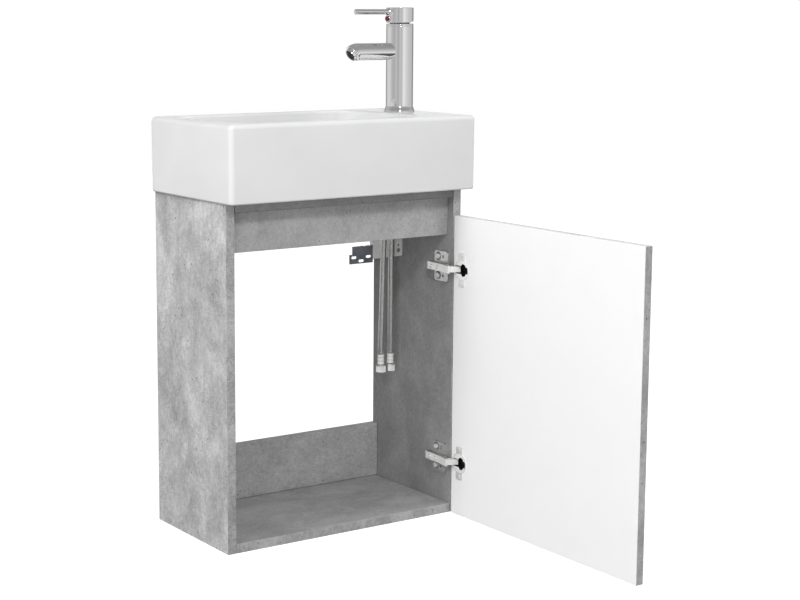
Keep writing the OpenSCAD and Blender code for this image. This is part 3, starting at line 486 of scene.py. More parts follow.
def pore_mask(tree, where, scale, size, chance, above):
    """One in the round middles of scattered cells, where the chance is high enough, else nothing."""
    cells = add_node(tree, "ShaderNodeTexVoronoi", {"Vector": where, "Scale": scale, "Randomness": 1.0})
    spots = spread(tree, cells.outputs["Distance"], 0.5 * size, size, 1.0, 0.0)
    return arithmetic(tree, "MULTIPLY", spots, spread(tree, chance, above, above + 0.04, 0.0, 1.0))


# Lit and shaded copies of the one print, as painted light and shade: the left side board's tone is raised for
# its light, and the right board with its front edge, the fascia, the front stretcher's edge and the boards
# inside are darker and fainter for their shade. The darkest is painted shade on the front stretcher's eased
# edges.
decor = {key: decor_material(name, grain, shift, tone, depth)[0]
         for key, name, grain, shift, tone, depth in (
             ("left", "concrete_decor_left_lit", 2, (0.31, 0.12, 0.07), 1.11, 1.1),
             ("right", "concrete_decor_right_shaded", 2, (1.1, 0.62, 0.43), 0.65, 0.65),
             ("level", "concrete_decor_level_shaded", 0, (1.7, 0.4, 0.9), 0.89, 0.8),
             ("fascia", "concrete_decor_fascia_shaded", 2, (0.7, 0.4, 1.9), 0.81, 0.6),
             ("stretcher", "concrete_decor_stretcher_shaded", 0, (0.5, 2.4, 1.2), 0.64, 0.7),
             ("band", "concrete_edge_band", 2, (2.3, 1.1, 0.2), 0.84, 1.0),
             ("band_right", "concrete_edge_band_right_shaded", 2, (2.9, 1.6, 0.5), 0.80, 1.0),
             ("shaded_edges", "painted_shade_edge_finish", 0, (0.2, 0.9, 2.6), 0.42, 1.0))}


def board(name, node, faces_axis, face, band, joint=(0, 0), shaded_edges=None):
    """A board in its node's place: a block whose edges are eased by the edge band's thickness. Joint
    gives the hairlines left open at both ends and below, and the last argument, when given, is a darker
    finish for the eased edges: painted shade."""
    low, high = (np.array(corner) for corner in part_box(node))
    low, high = low + (joint[0], 0, joint[1]), high - (joint[0], 0, 0)
    pick = np.array([(x, y, z) for z in (0, 1) for y in (0, 1) for x in (0, 1)])
    points = low + (high - low) * pick
    sides = [(0, 2, 3, 1), (4, 5, 7, 6), (0, 1, 5, 4), (2, 6, 7, 3), (0, 4, 6, 2), (1, 3, 7, 5)]
    piece = smooth_piece(name, points, sides, decor[face])
    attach(piece, "cabinet")
    piece.data.materials.append(decor[band])
    for number, side in enumerate(piece.data.polygons):
        side.material_index = 0 if (2, 1, 0)[number // 2] == faces_axis else 1
    piece.data.set_sharp_from_angle(angle=SHARP_ANGLE)
    piece.data.shade_flat()
    ease = piece.modifiers.new("ease", "BEVEL")
    ease.width = EDGE_EASE
    ease.segments = 3
    ease.limit_method = "ANGLE"
    ease.harden_normals = True
    # Painted shade: the eased edges take a darker copy of the print.
    if shaded_edges:
        piece.data.materials.append(decor[shaded_edges])
        ease.material = 2
    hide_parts(node)
    return piece


board("side_board_left", "left_side_panel", 0, "left", "band")
board("side_board_right", "right_side_panel", 0, "right", "band_right")
board("floor_board", "bottom_panel", 2, "level", "band", (JOINT, 0))
# The front stretcher's eased edges get painted shade, for the dark line at its lower edge.
board("front_stretcher_board", "top_front_stretcher", 2, "fascia", "stretcher", (JOINT, 0), "shaded_edges")
board("rear_stretcher_board", "top_rear_stretcher", 1, "level", "level", (JOINT, 0))
board("fascia_board", "fascia_rail", 1, "fascia", "fascia", (JOINT, 0))
board("back_rail_board", "lower_back_rail", 1, "level", "level", (JOINT, JOINT))

# Door
# The same chipboard: white melamine inside, concrete decor on the front and the wrapped edges.
# The cup holes are in the CAD board, so it stays and takes this finish.
door_low, door_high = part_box("door_panel")
WHITE_FACE_DEPTH = 0.0006


def door_material():
    """White within a hair of the inner face, concrete decor on the rest, split by the piece's own x.
    The top edge is mixed half way to the white, as a painted highlight for the light from above."""
    material, tree, shader = decor_material("door_board", 2, (0.9, 2.2, 1.4))
    inner = arithmetic(tree, "LESS_THAN", coordinate(tree, "X"), door_low.x + WHITE_FACE_DEPTH)
    # Painted highlight: the top edge takes half of the white.
    on_top = arithmetic(tree, "GREATER_THAN", coordinate(tree, "Z"), door_high.z - WHITE_FACE_DEPTH)
    painted_top_highlight = arithmetic(tree, "MULTIPLY", on_top, 0.5)
    white = add_node(tree, "ShaderNodeValToRGB", {"Fac": noise(tree, place_on(tree), 14.0)})
    white.color_ramp.elements[0].color = (0.89, 0.89, 0.895, 1)
    white.color_ramp.elements[1].color = (0.92, 0.92, 0.92, 1)
    mixed_into(tree, shader, arithmetic(tree, "MAXIMUM", inner, painted_top_highlight), white.outputs["Color"])
    return material


def finish_node(name, material):
    """Gives a CAD node that stays its real finish."""
    for place in nodes[name].material_slots:
        place.material = material


finish_node("door_panel", door_material())

# Basin
# Slip-cast sanitary ware with a white glaze: a straight outside with softly rounded edges,
# a bowl on the left and a ledge for the tap on the right. It is hollow underneath.
basin_low, basin_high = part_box("basin")
BOWL = (-0.210, 0.138, -0.235, -0.020)
BOWL_CORNER = 0.034
BOWL_FLOOR = 0.580
BOWL_FOOT = 0.022
BOWL_TAPER = 0.009
LIP_R = 0.006
OUTER_R = 0.008
WALL = 0.014
WASTE_AT = (0.020, -0.1275)
WASTE_SEAT = 0.577
FLOOR_UNDER = 0.568
LEDGE_UNDER = 0.652
TAP_HOLE_R = 0.0175
CORNER_STEPS = 14
SIDE_STEPS = 26


def loop_of(rect, inset, radius, z):
    """A level loop: the rectangle drawn in by inset, its corners rounded by radius.
    Every loop has the same count of points on each corner and side, so loops join one to one."""
    x0, x1, y0, y1 = rect[0] + inset, rect[1] - inset, rect[2] + inset, rect[3] - inset
    radius = max(radius, 1e-5)
    quarter = np.linspace(0, math.pi / 2, CORNER_STEPS)
    side = np.linspace(0, 1, SIDE_STEPS + 2)[1:-1, None]
    corners = []
    for turn, cx, cy in ((0, x1 - radius, y1 - radius), (1, x0 + radius, y1 - radius),
                         (2, x0 + radius, y0 + radius), (3, x1 - radius, y0 + radius)):
        angle = quarter + turn * math.pi / 2
        corners.append(np.stack([cx + radius * np.cos(angle), cy + radius * np.sin(angle)], axis=1))
    line = []
    for k in range(4):
        start, end = corners[k][-1], corners[(k + 1) % 4][0]
        line += [corners[k], start + (end - start) * side]
    flat = np.concatenate(line)
    return np.column_stack([flat, np.full(len(flat), z)])


def round_loop(like, centre, radius, z):
    """A circle about the waste, with each point in the direction of its partner on another loop."""
    away = like[:, :2] - np.asarray(centre)
    angle = np.unwrap(np.arctan2(away[:, 1], away[:, 0]))
    return np.column_stack([centre[0] + radius * np.cos(angle), centre[1] + radius * np.sin(angle),
                            np.full(len(like), z)])


def basin_loops():
    """All level loops of the basin, from the waste hole over the bowl, the rim and the outside to the
    hollow underneath and back to the hole. Quarter circles join the flats, so nothing is sharp."""
    outer = (basin_low.x, basin_high.x, basin_low.y, basin_high.y)
    top, bottom = basin_high.z, basin_low.z
    quarter = np.linspace(0, math.pi / 2, 9)
    inner_foot = [loop_of(BOWL, BOWL_TAPER + BOWL_FOOT * (1 - math.cos(a)), BOWL_FOOT * math.cos(a),
                          BOWL_FLOOR + BOWL_FOOT * (1 - math.sin(a))) for a in quarter]
    flat_edge = inner_foot[-1]
    recess = round_loop(flat_edge, WASTE_AT, 0.0335, BOWL_FLOOR - 0.0006)
    floor = [flat_edge + (recess - flat_edge) * t for t in np.linspace(0, 1, 9)[1:]]
    loops = [round_loop(flat_edge, WASTE_AT, r, z) for r, z in (
        (0.023, FLOOR_UNDER), (0.023, WASTE_SEAT - 0.001), (0.0235, WASTE_SEAT), (0.0325, WASTE_SEAT),
        (0.033, WASTE_SEAT + 0.0005))]
    loops += floor[::-1]
    loops += inner_foot[::-1]
    loops += [loop_of(BOWL, BOWL_TAPER * (1 - t), BOWL_FOOT + (BOWL_CORNER - BOWL_FOOT) * t,
                      BOWL_FLOOR + BOWL_FOOT + (top - LIP_R - BOWL_FLOOR - BOWL_FOOT) * t)
              for t in np.linspace(0, 1, 6)[1:]]
    loops += [loop_of(BOWL, -LIP_R * (1 - math.cos(a)), BOWL_CORNER + LIP_R * (1 - math.cos(a)),
                      top - LIP_R + LIP_R * math.sin(a)) for a in quarter[1:]]
    lip, rim = loops[-1], loop_of(outer, OUTER_R, 0, top)
    loops += [lip + (rim - lip) * t for t in (0.25, 0.5, 0.75)]
    loops += [loop_of(outer, OUTER_R * (1 - math.sin(a)), OUTER_R * math.sin(a),
                      top - OUTER_R * (1 - math.cos(a))) for a in quarter]
    foot = 0.003
    loops += [loop_of(outer, foot * (1 - math.cos(a)), OUTER_R - foot * (1 - math.cos(a)),
                      bottom + foot - foot * math.sin(a)) for a in quarter]
    loops += [loop_of(outer, inset, 0.004, z) for inset, z in (
        (WALL - 0.001, bottom), (WALL, bottom + 0.001), (WALL, FLOOR_UNDER - 0.004),
        (WALL + 0.004, FLOOR_UNDER))]
    loops.append(loops[0].copy())
    return np.array(loops)


def glaze_material():
    """White glaze over clay: a hard shine, a very slow ripple and a trace of warmth where it pools."""
    material, tree, shader = new_material("white_glaze", (0.70, 0.70, 0.70), 0.0, 0.20)
    shader.inputs["Specular IOR Level"].default_value = 0.4
    slow = noise(tree, place_on(tree), 9.0, 2.0)
    tinted(tree, shader, spread(tree, slow, 0.3, 0.7, 0.0, 1.0), (0.685, 0.687, 0.692), (0.722, 0.722, 0.720))
    rough_between(tree, shader, noise(tree, place_on(tree), 22.0, 3.0), 0.17, 0.24)
    bump(tree, shader, slow, 0.1, 0.002)
    return material


def cut_away(piece, cutters):
    """Takes the cutters' shapes out of the piece and removes them."""
    for cutter in cutters:
        cut = piece.modifiers.new("cut", "BOOLEAN")
        cut.operation = "DIFFERENCE"
        cut.solver = "EXACT"
        cut.object = cutter
        bpy.context.view_layer.update()
        shown = piece.evaluated_get(bpy.context.evaluated_depsgraph_get())
        result = bpy.data.meshes.new_from_object(shown)
        piece.modifiers.clear()
        piece.data = result
        bpy.data.objects.remove(cutter)
    piece.data.shade_smooth()
    piece.data.set_sharp_from_angle(angle=SHARP_ANGLE)


glaze = glaze_material()
loops = basin_loops()
basin = put_in_scene("ceramic_basin", loops, grid_faces(len(loops), loops.shape[1]), "cabinet",
                     glaze)
pocket_rect = (BOWL[1] + WALL, basin_high.x - WALL, basin_low.y + WALL, basin_high.y - WALL)
pocket = np.array([loop_of(pocket_rect, inset, radius, z) for inset, radius, z in (
    (0.03, 0.001, FLOOR_UNDER - 0.01), (0, 0.004, FLOOR_UNDER - 0.01), (0, 0.004, LEDGE_UNDER - 0.004),
    (0.004, 0.004, LEDGE_UNDER), (0.03, 0.001, LEDGE_UNDER))])
pocket_cutter = put_in_scene("pocket_cutter", pocket,
                             grid_faces(len(pocket), pocket.shape[1], capped=True),
                             "cabinet", glaze)
hole_cutter = turned("hole_cutter", (TAP_X, TAP_Y, 0.6),
                     [(0, 0), (TAP_HOLE_R, 0), (TAP_HOLE_R, 0.1), (0, 0.1)],
                     "cabinet", glaze)
cut_away(basin, [pocket_cutter, hole_cutter])
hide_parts("basin")

# Waste
# A turned brass waste is screwed together through the bowl's floor. Its polished chrome flange
# lies in the recess of the bowl, round a domed plug that is pressed to open or close it.
chrome, tree, shader = new_material("chrome", (0.90, 0.90, 0.905), 1.0, 0.07)
rough_between(tree, shader, noise(tree, place_on(tree), 60.0, 4.0), 0.04, 0.10)
bump(tree, shader, noise(tree, place_on(tree), 30.0, 1.0), 0.03, 0.0003)
flange = turned("waste_rim", (*WASTE_AT, WASTE_SEAT), eased(
    [(0.017, -0.004), (0.032, 0), (0.0318, 0.0012), (0.031, 0.0024), (0.022, 0.0016),
     (0.017, -0.001), (0.017, -0.004)], 0.0006), "cabinet", chrome, 96)
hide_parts("waste_flange")

# Tap
# A chromed brass column on a flared ring, with a turned-down spout. Its head turns and lifts on
# the cartridge by a rod lever, and a red dot marks the warm side.
COLUMN_R = 0.023
COLUMN_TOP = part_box("tap_body")[1].z
HEAD_LOW, HEAD_TOP = (corner.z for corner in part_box("tap_head"))
LIFT_PIN_DROP = 0.006
LIFT_CLEARANCE = 0.0002
LIFT_MOST = math.radians(14)
tap_foot = (TAP_X, TAP_Y, 0)
column = turned("tap_column", tap_foot, eased(
    [(0.0178, COLUMN_TOP), (COLUMN_R - 0.0010, COLUMN_TOP), (COLUMN_R, COLUMN_TOP - 0.0010),
     (COLUMN_R, COLUMN_TOP - 0.0034), (COLUMN_R - 0.0005, COLUMN_TOP - 0.0038),
     (COLUMN_R, COLUMN_TOP - 0.0042), (COLUMN_R, BASIN_TOP + 0.009), (0.0165, BASIN_TOP + 0.009)],
    0.0003), "cabinet", chrome, 128)
foot_ring = turned("tap_foot_ring", (TAP_X, TAP_Y, BASIN_TOP), eased(
    [(TAP_HOLE_R, 0.0092), (COLUMN_R, 0.0092), (COLUMN_R + 0.0004, 0.0075), (0.0256, 0.0022),
     (0.026, 0.0002), (TAP_HOLE_R, 0.0002)], 0.0008), "cabinet", chrome, 128)
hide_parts("tap_body")
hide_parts("tap_base_ring")
head = turned("tap_head_cap", tap_foot, eased(
    [(0, HEAD_LOW + 0.013), (0.012, HEAD_LOW + 0.013), (0.0206, HEAD_LOW + 0.005), (0.0206, HEAD_LOW),
     (COLUMN_R, HEAD_LOW), (COLUMN_R, HEAD_TOP), (0, HEAD_TOP + 0.0003)], 0.0009), "tap_handle",
    chrome, 128)


def relieve(piece, lift):
    """Raises the head's underside behind its axis to a sloping plane, so that its back clears the
    column when the lever is lifted about the pin just below the column's top."""
    points = np.zeros(len(piece.data.vertices) * 3)
    piece.data.vertices.foreach_get("co", points)
    points = points.reshape(-1, 3)
    rise = LIFT_PIN_DROP + LIFT_CLEARANCE + (points[:, 0] - TAP_X) * math.sin(lift)
    points[:, 2] = np.maximum(points[:, 2], COLUMN_TOP - LIFT_PIN_DROP + rise / math.cos(lift))
    piece.data.vertices.foreach_set("co", points.ravel())
    tidy_mesh(piece)


relieve(head, LIFT_MOST)
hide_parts("tap_head")

LEVER_R = 0.0043
LEVER_Z = 0.831
FLARE_R = 0.0063
LEVER_L = 0.091
LEVER_END_R = 0.0022
round_end = np.linspace(0, math.pi / 2, 9)
flare = np.linspace(0, 1, 9)
lever = turned("tap_lever_rod", (TAP_X, TAP_Y, LEVER_Z), np.vstack([
    [[0, 0.013], [FLARE_R, 0.013]],
    np.column_stack([LEVER_R + (FLARE_R - LEVER_R) * (1 - flare) ** 2, 0.023 + 0.006 * flare]),
    np.column_stack([LEVER_R - LEVER_END_R * (1 - np.cos(round_end)),
                     LEVER_L - LEVER_END_R * (1 - np.sin(round_end))]),
    [[0, LEVER_L]]]), "tap_handle", chrome, 64, axis=(-1, 0, 0))
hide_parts("tap_lever")

SPOUT_R = 0.014
SPOUT_Z = 0.766
SPOUT_REACH = 0.0860
ELBOW_R = 0.015
ELBOW_TURN = math.radians(35)
COLLAR_R = 0.0106
COLLAR_L = 0.0060
MOUTH_R = 0.0088


def spout_surface():
    """The spout's skin: a circle carried along a straight run and a short bend. At the tip it steps in
    to a narrower collar, and the mouth is turned in to hold the aerator. Each station has its reach,
    height, lean and radius."""
    stations = [(0.018, SPOUT_Z, 0.0, SPOUT_R)]
    stations += [(SPOUT_REACH * t, SPOUT_Z, 0.0, SPOUT_R) for t in np.linspace(0.3, 1, 8)]
    stations += [(SPOUT_REACH + ELBOW_R * math.sin(a), SPOUT_Z - ELBOW_R * (1 - math.cos(a)), a, SPOUT_R)
                 for a in np.linspace(0, ELBOW_TURN, 14)[1:]]
    tip_x, tip_z = stations[-1][0], stations[-1][1]
    dx, dz = math.cos(ELBOW_TURN), -math.sin(ELBOW_TURN)
    for step, radius in (
            (0.0004, SPOUT_R - 0.0001), (0.0008, SPOUT_R - 0.0006), (0.0009, COLLAR_R + 0.0002),
            (0.0010, COLLAR_R), (COLLAR_L - 0.0006, COLLAR_R), (COLLAR_L - 0.0002, COLLAR_R - 0.0002),
            (COLLAR_L, COLLAR_R - 0.0006), (COLLAR_L, MOUTH_R + 0.0004), (COLLAR_L - 0.0004, MOUTH_R),
            (-0.004, MOUTH_R), (-0.004, 0.0)):
        stations.append((tip_x + dx * step, tip_z + dz * step, ELBOW_TURN, radius))
    s = np.array(stations)
    angle = np.linspace(0, 2 * math.pi, 96, endpoint=False)[None, :]
    reach, z, lean, radius = (s[:, k][:, None] for k in range(4))
    x = TAP_X - reach - radius * np.cos(angle) * np.sin(lean)
    y = TAP_Y + radius * np.sin(angle) + 0 * x
    height = z + radius * np.cos(angle) * np.cos(lean)
    return np.stack([x, y, height], axis=-1)


skin = spout_surface()
spout = put_in_scene("tap_spout_tube", skin, grid_faces(len(skin), skin.shape[1]), "cabinet",
                     chrome)
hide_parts("tap_spout")


def aerator_profile():
    """The insert in the mouth: rings of holes read as grooves, a cosine across the radius."""
    radius = np.linspace(0, MOUTH_R - 0.0001, 60)
    height = COLLAR_L - 0.0013 - 0.0004 * (0.5 - 0.5 * np.cos(2 * math.pi * radius / 0.0022))
    back = COLLAR_L - 0.005
    return np.vstack([np.column_stack([radius, height]), [[radius[-1], back], [0, back]]])


dark_insert, tree, shader = new_material("dark_insert", (0.02, 0.02, 0.021), 0.0, 0.45)
tinted(tree, shader, noise(tree, place_on(tree), 500.0), (0.012, 0.012, 0.013), (0.03, 0.03, 0.031))
bump(tree, shader, noise(tree, place_on(tree), 900.0, 2.0), 0.1, 0.0002)
tip = (TAP_X - SPOUT_REACH - ELBOW_R * math.sin(ELBOW_TURN), TAP_Y,
       SPOUT_Z - ELBOW_R * (1 - math.cos(ELBOW_TURN)))
insert = turned("tap_aerator_insert", tip, aerator_profile(), "cabinet", dark_insert, 72,
                axis=(-math.cos(ELBOW_TURN), 0, -math.sin(ELBOW_TURN)))
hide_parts("tap_aerator")

MARK_Z = 0.8197
MARK_R = 0.0041
MARK_OUT = 0.0052
BOSS_OUT = 0.0016
dot, tree, shader = new_material("red_enamel", (0.15, 0.010, 0.022), 0.0, 0.3)
tinted(tree, shader, noise(tree, place_on(tree), 400.0), (0.12, 0.008, 0.018), (0.17, 0.012, 0.026))
mark_at = (TAP_X - COLUMN_R, TAP_Y, MARK_Z)
mark = turned("warm_mark", mark_at,
              eased([(MARK_R, 0.001), (MARK_R, MARK_OUT - 0.0004), (0, MARK_OUT)], 0.0009),
              "tap_handle", dot, 48, axis=(-1, 0, 0))
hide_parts("tap_mark")
turned("warm_mark_boss", mark_at, eased(
    [(MARK_R - 0.0004, -0.001), (0.0055, -0.001), (0.0053, BOSS_OUT - 0.0006), (0.0049, BOSS_OUT),
     (MARK_R, BOSS_OUT), (MARK_R - 0.0004, -0.001)], 0.0003),
       "tap_handle", chrome, 48, axis=(-1, 0, 0))

# Hinges
# Two concealed hinges of pressed and nickel-plated steel. The arm clips on a plate screwed to the
# right side board, and two links join it to a cup that is sunk in the door.
HINGE_HEIGHTS = {"lower": 0.090, "upper": 0.414}
WING_SCREW_Y, WING_SCREW_Z = -0.190, 0.016
# Grey of the painted shade on the hinges' up and down faces and in the rings round the wing screws.
SHADE_GREY = 0.10


def pressed_steel(name, color, roughness, metallic):
    """Plated steel with painted shade on the faces that look up or down. Also returns its nodes and the
    shader."""
    material, tree, shader = nickel_material(name, color, roughness, metallic)
    normal = add_node(tree, "ShaderNodeNewGeometry").outputs["Normal"]
    facing = add_node(tree, "ShaderNodeSeparateXYZ", {"Vector": normal})
    steep = arithmetic(tree, "ABSOLUTE", facing.outputs["Z"], 0.0)
    # Painted shade: faces that look nearly straight up or down are drawn towards the dark grey.
    mixed_into(tree, shader, spread(tree, steep, 0.6, 0.85, 0.0, 0.9), SHADE_GREY)
    return material, tree, shader


def distance(tree, vector):
    return add_node(tree, "ShaderNodeVectorMath", {0: vector}, operation="LENGTH").outputs["Value"]


def embossed_steel():
    """Pressed steel with a round dish about each wing screw, and painted shade in a ring at each dish's edge.
    """
    material, tree, shader = pressed_steel("embossed_nickel", (0.70, 0.698, 0.69), 0.22, 0.6)
    height = groove = None
    for z in HINGE_HEIGHTS.values():
        for side in (-1, 1):
            to_screw = (0, -WING_SCREW_Y, -(z + side * WING_SCREW_Z))
            away = distance(tree, place_on(tree, (0, 1, 1), to_screw))
            dish = spread(tree, away, 0.0045, 0.0072, 0.0, 1.0)
            ring = arithmetic(tree, "PINGPONG", spread(tree, away, 0.0046, 0.0080, 0.0, 2.0), 1.0)
            height = dish if height is None else arithmetic(tree, "MINIMUM", height, dish)
            groove = ring if groove is None else arithmetic(tree, "MAXIMUM", groove, ring)
    # Painted shade in the rings at the dishes' edges.
    mixed_into(tree, shader, arithmetic(tree, "MULTIPLY", groove, 0.8), SHADE_GREY)
    bump(tree, shader, height, 1.0, 0.0009)
    return material


def cup_steel():
    """The cup is bright on its rim and dark inside, where no light gets: split by the piece's own x."""
    material, tree, shader = nickel_material("cup_nickel", (0.90, 0.895, 0.885), 0.21, 0.4)
    mixed_into(tree, shader, spread(tree, coordinate(tree, "X"), 0.2054, 0.2062, 0.0, 1.0), 0.03)
    return material


# The hinges' plated steel, with painted shade on its up and down faces.
hinge_steel = pressed_steel("hinge_nickel", (0.97, 0.965, 0.955), 0.21, 0.2)[0]
pressed = embossed_steel()
cup_metal = cup_steel()
for name in nodes:
    if name.startswith("hinge_cup"):
        finish_node(name, cup_metal)
    elif name in ("hinge_plate_lower", "hinge_plate_upper"):
        finish_node(name, pressed)
    elif name.startswith(("hinge_", "outer_link", "inner_link", "hanger_hook")):
        finish_node(name, hinge_steel)

CUP_Y = -0.2542
CUP_INNER_R = 0.0165
COVER_X = (0.2042, 0.2049)
NOTCH_HALF = 0.0054
HOLE_ACROSS, HOLE_UP, HOLE_NARROW = 0.0110, 0.0102, 0.0066


def cup_cover(name, z):
    """The plate in the mouth of a hinge cup: a rectangle carried round an arc that stops at the links'
    notch. Its inner edge is a superellipse of the fourth power, wide enough for the folded arm."""
    start = math.asin(NOTCH_HALF / CUP_INNER_R)
    angle = np.linspace(start, 2 * math.pi - start, 150)
    across, up = np.cos(angle), np.sin(angle)
    half = HOLE_UP - (HOLE_UP - HOLE_NARROW) * np.clip((across + 0.15) / 0.4, 0, 1)
    inner = ((across / HOLE_ACROSS) ** 4 + (up / half) ** 4) ** -0.25
    inner = np.where(across > 0.25, HOLE_NARROW / np.maximum(np.abs(up), 1e-6), inner)
    inner = np.maximum(inner, NOTCH_HALF / np.maximum(np.abs(up), 1e-6))
    inner = np.minimum(inner, CUP_INNER_R - 0.0002)
    ease = 0.0002
    front, back = COVER_X
    ring = [(inner, back), (inner, front + ease), (inner + ease, front),
            (CUP_INNER_R - ease, front), (CUP_INNER_R, front + ease), (CUP_INNER_R, back)]
    points = np.stack([np.stack([np.full_like(angle, x), CUP_Y + r * across, z + r * up], axis=-1)
                       for r, x in ring], axis=1)
    put_in_scene(name, points, grid_faces(len(angle), len(ring), capped=True), "door",
                 hinge_steel)


for height_name, z in HINGE_HEIGHTS.items():
    cup_cover("cup_cover_" + height_name, z)

# Hangers and wall plates
# Moulded hangers in the upper corners carry the cabinet by steel hooks. The hooks grip the lips of
# two pressed and zinc-plated wall plates, whose tongues are bent back out of the lip.
TONGUE_HALF = 0.0023
TONGUE_APART = 0.013
TONGUE_BEND = (-0.0022, 0.4226)
TONGUE_R = (0.0048, 0.0034)


def plain_material(name, dark, light, metallic, roughness, grain_scale, relief):
    """An even finish with a soft change of tone, a varied gloss and a fine surface grain."""
    material, tree, shader = new_material(name, light, metallic, roughness)
    tinted(tree, shader, spread(tree, noise(tree, place_on(tree), 40.0), 0.3, 0.7, 0, 1), dark, light)
    grain = noise(tree, place_on(tree), grain_scale, 3.0)
    rough_between(tree, shader, grain, roughness * 0.8, roughness * 1.25)
    bump(tree, shader, grain, relief, 0.0002)
    return material


def wall_plate_tongue(name, x, material):
    """A tongue pressed back out of the plate's lip: a strip with a quarter circle's section."""
    turn = np.linspace(0, math.pi / 2, 9)
    y, z = TONGUE_BEND
    section = np.concatenate([np.column_stack([y - r * np.cos(t), z + r * np.sin(t)])
                              for r, t in zip(TONGUE_R, (turn, turn[::-1]))])
    rows = [np.column_stack([np.full(len(section), x + side * TONGUE_HALF), section])
            for side in (-1, 1)]
    put_in_scene(name, rows, grid_faces(2, len(section), capped=True), "cabinet",
                 material)


zinc = plain_material("dark_zinc", (0.26, 0.285, 0.325), (0.37, 0.40, 0.45), 0.15, 0.33, 300.0, 0.15)
moulded = plain_material("grey_plastic", (0.88, 0.875, 0.86), (0.94, 0.935, 0.92), 0.0, 0.45, 900.0, 0.1)
finish_node("hanger_screws", zinc)
for name, side in (("left", -1), ("right", 1)):
    finish_node("hanger_housing_" + name, moulded)
    finish_node("wall_plate_" + name, zinc)
    plate_low, plate_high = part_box("wall_plate_" + name)
    middle_x = (plate_low.x + plate_high.x) / 2
    wall_plate_tongue("wall_plate_tongue_" + name + "_1", middle_x, zinc)
    wall_plate_tongue("wall_plate_tongue_" + name + "_2", middle_x + side * TONGUE_APART, zinc)

# Hidden fittings
# The tap is pulled down on the ledge by a brass stud and nut over a rubber gasket, and its plastic
# cartridge sits in the column. The waste is clamped by a brass nut, and beech dowels join the boards.
white = plain_material("white_plastic", (0.72, 0.72, 0.70), (0.80, 0.80, 0.78), 0.0, 0.4, 900.0, 0.1)
black = plain_material("black_plastic", (0.015,) * 3, (0.03,) * 3, 0.0, 0.5, 900.0, 0.1)
rubber = plain_material("black_rubber", (0.02,) * 3, (0.045,) * 3, 0.0, 0.7, 1200.0, 0.2)
brass = plain_material("turned_brass", (0.55, 0.40, 0.17), (0.72, 0.54, 0.27), 1.0, 0.28, 500.0, 0.1)
beech = plain_material("beech", (0.50, 0.34, 0.19), (0.64, 0.47, 0.29), 0.0, 0.6, 400.0, 0.2)
for material, names in (
    (white, ("tap_cartridge",)),
    (black, ("tap_rotor",)),
    (rubber, ("tap_gasket", "waste_gasket")),
    (brass, ("tap_stud", "tap_nut", "waste_nut", "waste_body")),
    (beech, ("carcass_dowels",)),
    (chrome, ("waste_plug", "tap_cartridge_nut", "tap_stem")),
    (nickel, ("tap_washer",)),
):
    for name in names:
        finish_node(name, material)

# Studio
# A pale floor well below the unit, a white surround and four soft lamps round the unit's front.
# Polished metal sees the studio's grey corners and screens as bands that change with the bearing.
FLOOR_Z = -0.30
SCREENS = ((-180, 0.45), (-170, 0.44), (-156, 0.55), (-147, 0.52), (-138, 0.40), (-121, 0.60),
           (-112, 0.50), (-103, 0.62), (-94, 0.80), (-85, 0.88), (-76, 0.74), (-66, 0.70), (-45, 0.60),
           (-20, 0.55), (-5, 0.58), (4, 0.27), (28, 0.27), (38, 0.90), (76, 0.90), (84, 0.26),
           (99, 0.26), (106, 0.62), (128, 0.68), (145, 0.70), (162, 0.56))
OVERHEAD = 0.32


def aim(obj, target):
    """Turns a lamp so that it shines at the target."""
    x, y, z = np.asarray(target, float) - np.asarray(obj.location)
    obj.rotation_euler = (math.atan2(math.hypot(x, y), -z), 0, math.atan2(y, x) - math.pi / 2)


def soft_lamp(name, at, size, power):
    """A square lamp aimed at the unit. Only the front one shows in polished metal."""
    light = bpy.data.lights.new(name, "AREA")
    light.shape = "SQUARE"
    light.size = size
    light.energy = power
    lamp = bpy.data.objects.new(name, light)
    lamp.location = at
    scene.collection.objects.link(lamp)
    aim(lamp, (0, -0.15, 0.35))
    lamp.visible_glossy = name == "front_lamp"


for name, at, size, power in (("key_lamp", (-2.5, -0.35, 2.3), 0.8, 44),
                              ("front_lamp", (-1.25, -2.75, 2.6), 0.45, 54),
                              ("fill_lamp", (-2.6, -2.0, 0.45), 1.6, 25),
                              ("right_lamp", (2.4, -0.9, 1.9), 1.2, 44)):
    soft_lamp(name, at, size, power)

world = bpy.data.worlds.new("studio")
scene.world = world
world.use_nodes = True
tree = world.node_tree
tree.nodes.clear()
rays = add_node(tree, "ShaderNodeLightPath")
ray_way = add_node(tree, "ShaderNodeTexCoord").outputs["Generated"]
way = add_node(tree, "ShaderNodeSeparateXYZ", {"Vector": ray_way})
bearing = arithmetic(tree, "ARCTAN2", way.outputs["Y"], way.outputs["X"])
bands = add_node(tree, "ShaderNodeValToRGB", {"Fac": spread(tree, bearing, -math.pi, math.pi, 0.0, 1.0)})
stops = bands.color_ramp.elements
for number, (degrees, level) in enumerate(SCREENS):
    stop = stops.new((degrees + 180) / 360) if number else stops[0]
    stop.color = (level, level, level, 1)
stops[-1].position = 1.0
stops[-1].color = stops[0].color
overhead = spread(tree, way.outputs["Z"], 0.04, 0.6, 0.0, 1.0)
in_metal = add_node(tree, "ShaderNodeMix", {"Factor": overhead}, data_type="RGBA")
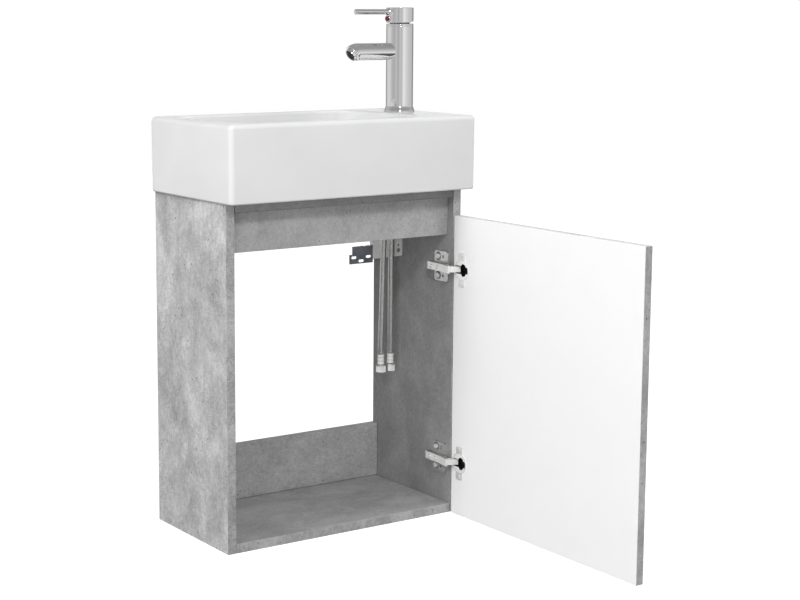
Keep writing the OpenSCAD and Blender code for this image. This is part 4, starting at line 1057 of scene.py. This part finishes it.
tree.links.new(bands.outputs["Color"], in_metal.inputs["A"])
in_metal.inputs["B"].default_value = (OVERHEAD, OVERHEAD, OVERHEAD, 1)
lit = add_node(tree, "ShaderNodeBackground", {
    "Color": (1, 1, 1, 1), "Strength": spread(tree, way.outputs["Y"], -0.2, 0.4, 0.34, 0.26)})
mirrored = add_node(tree, "ShaderNodeBackground", {"Color": in_metal.outputs["Result"], "Strength": 1.0})
seen = add_node(tree, "ShaderNodeBackground", {"Color": (1, 1, 1, 1), "Strength": 1.0})
in_gloss = add_node(tree, "ShaderNodeMixShader", {
    "Fac": rays.outputs["Is Glossy Ray"], 1: lit.outputs[0], 2: mirrored.outputs[0]})
direct = arithmetic(tree, "MAXIMUM", rays.outputs["Is Camera Ray"], rays.outputs["Is Transmission Ray"])
whole = add_node(tree, "ShaderNodeMixShader", {
    "Fac": direct, 1: in_gloss.outputs[0], 2: seen.outputs[0]})
add_node(tree, "ShaderNodeOutputWorld", {"Surface": whole.outputs[0]})

floor_material, tree, shader = new_material("floor", (0.45, 0.45, 0.45), 0.0, 0.9,
                                            Emission_Color=(1, 1, 1, 1))
rays = add_node(tree, "ShaderNodeLightPath")
away = distance(tree, place_on(tree, (1, 1, 0)))
glow = arithmetic(tree, "MULTIPLY", rays.outputs["Is Camera Ray"], spread(tree, away, 1.2, 3.0, 0.80, 0.97))
tree.links.new(glow, shader.inputs["Emission Strength"])
pale = add_node(tree, "ShaderNodeEmission", {
    "Color": (1, 1, 1, 1), "Strength": spread(tree, away, 2.7, 3.1, 0.06, 0.85)})
either = add_node(tree, "ShaderNodeMixShader", {
    "Fac": arithmetic(tree, "MULTIPLY", rays.outputs["Is Glossy Ray"], 0.9),
    1: shader.outputs[0], 2: pale.outputs[0]})
tree.links.new(either.outputs[0], tree.nodes["Material Output"].inputs["Surface"])
floor = smooth_piece("floor", [(x, y, FLOOR_Z) for x, y in ((-9, -9), (9, -9), (9, 9), (-9, 9))],
                     [(0, 1, 2, 3)], floor_material)
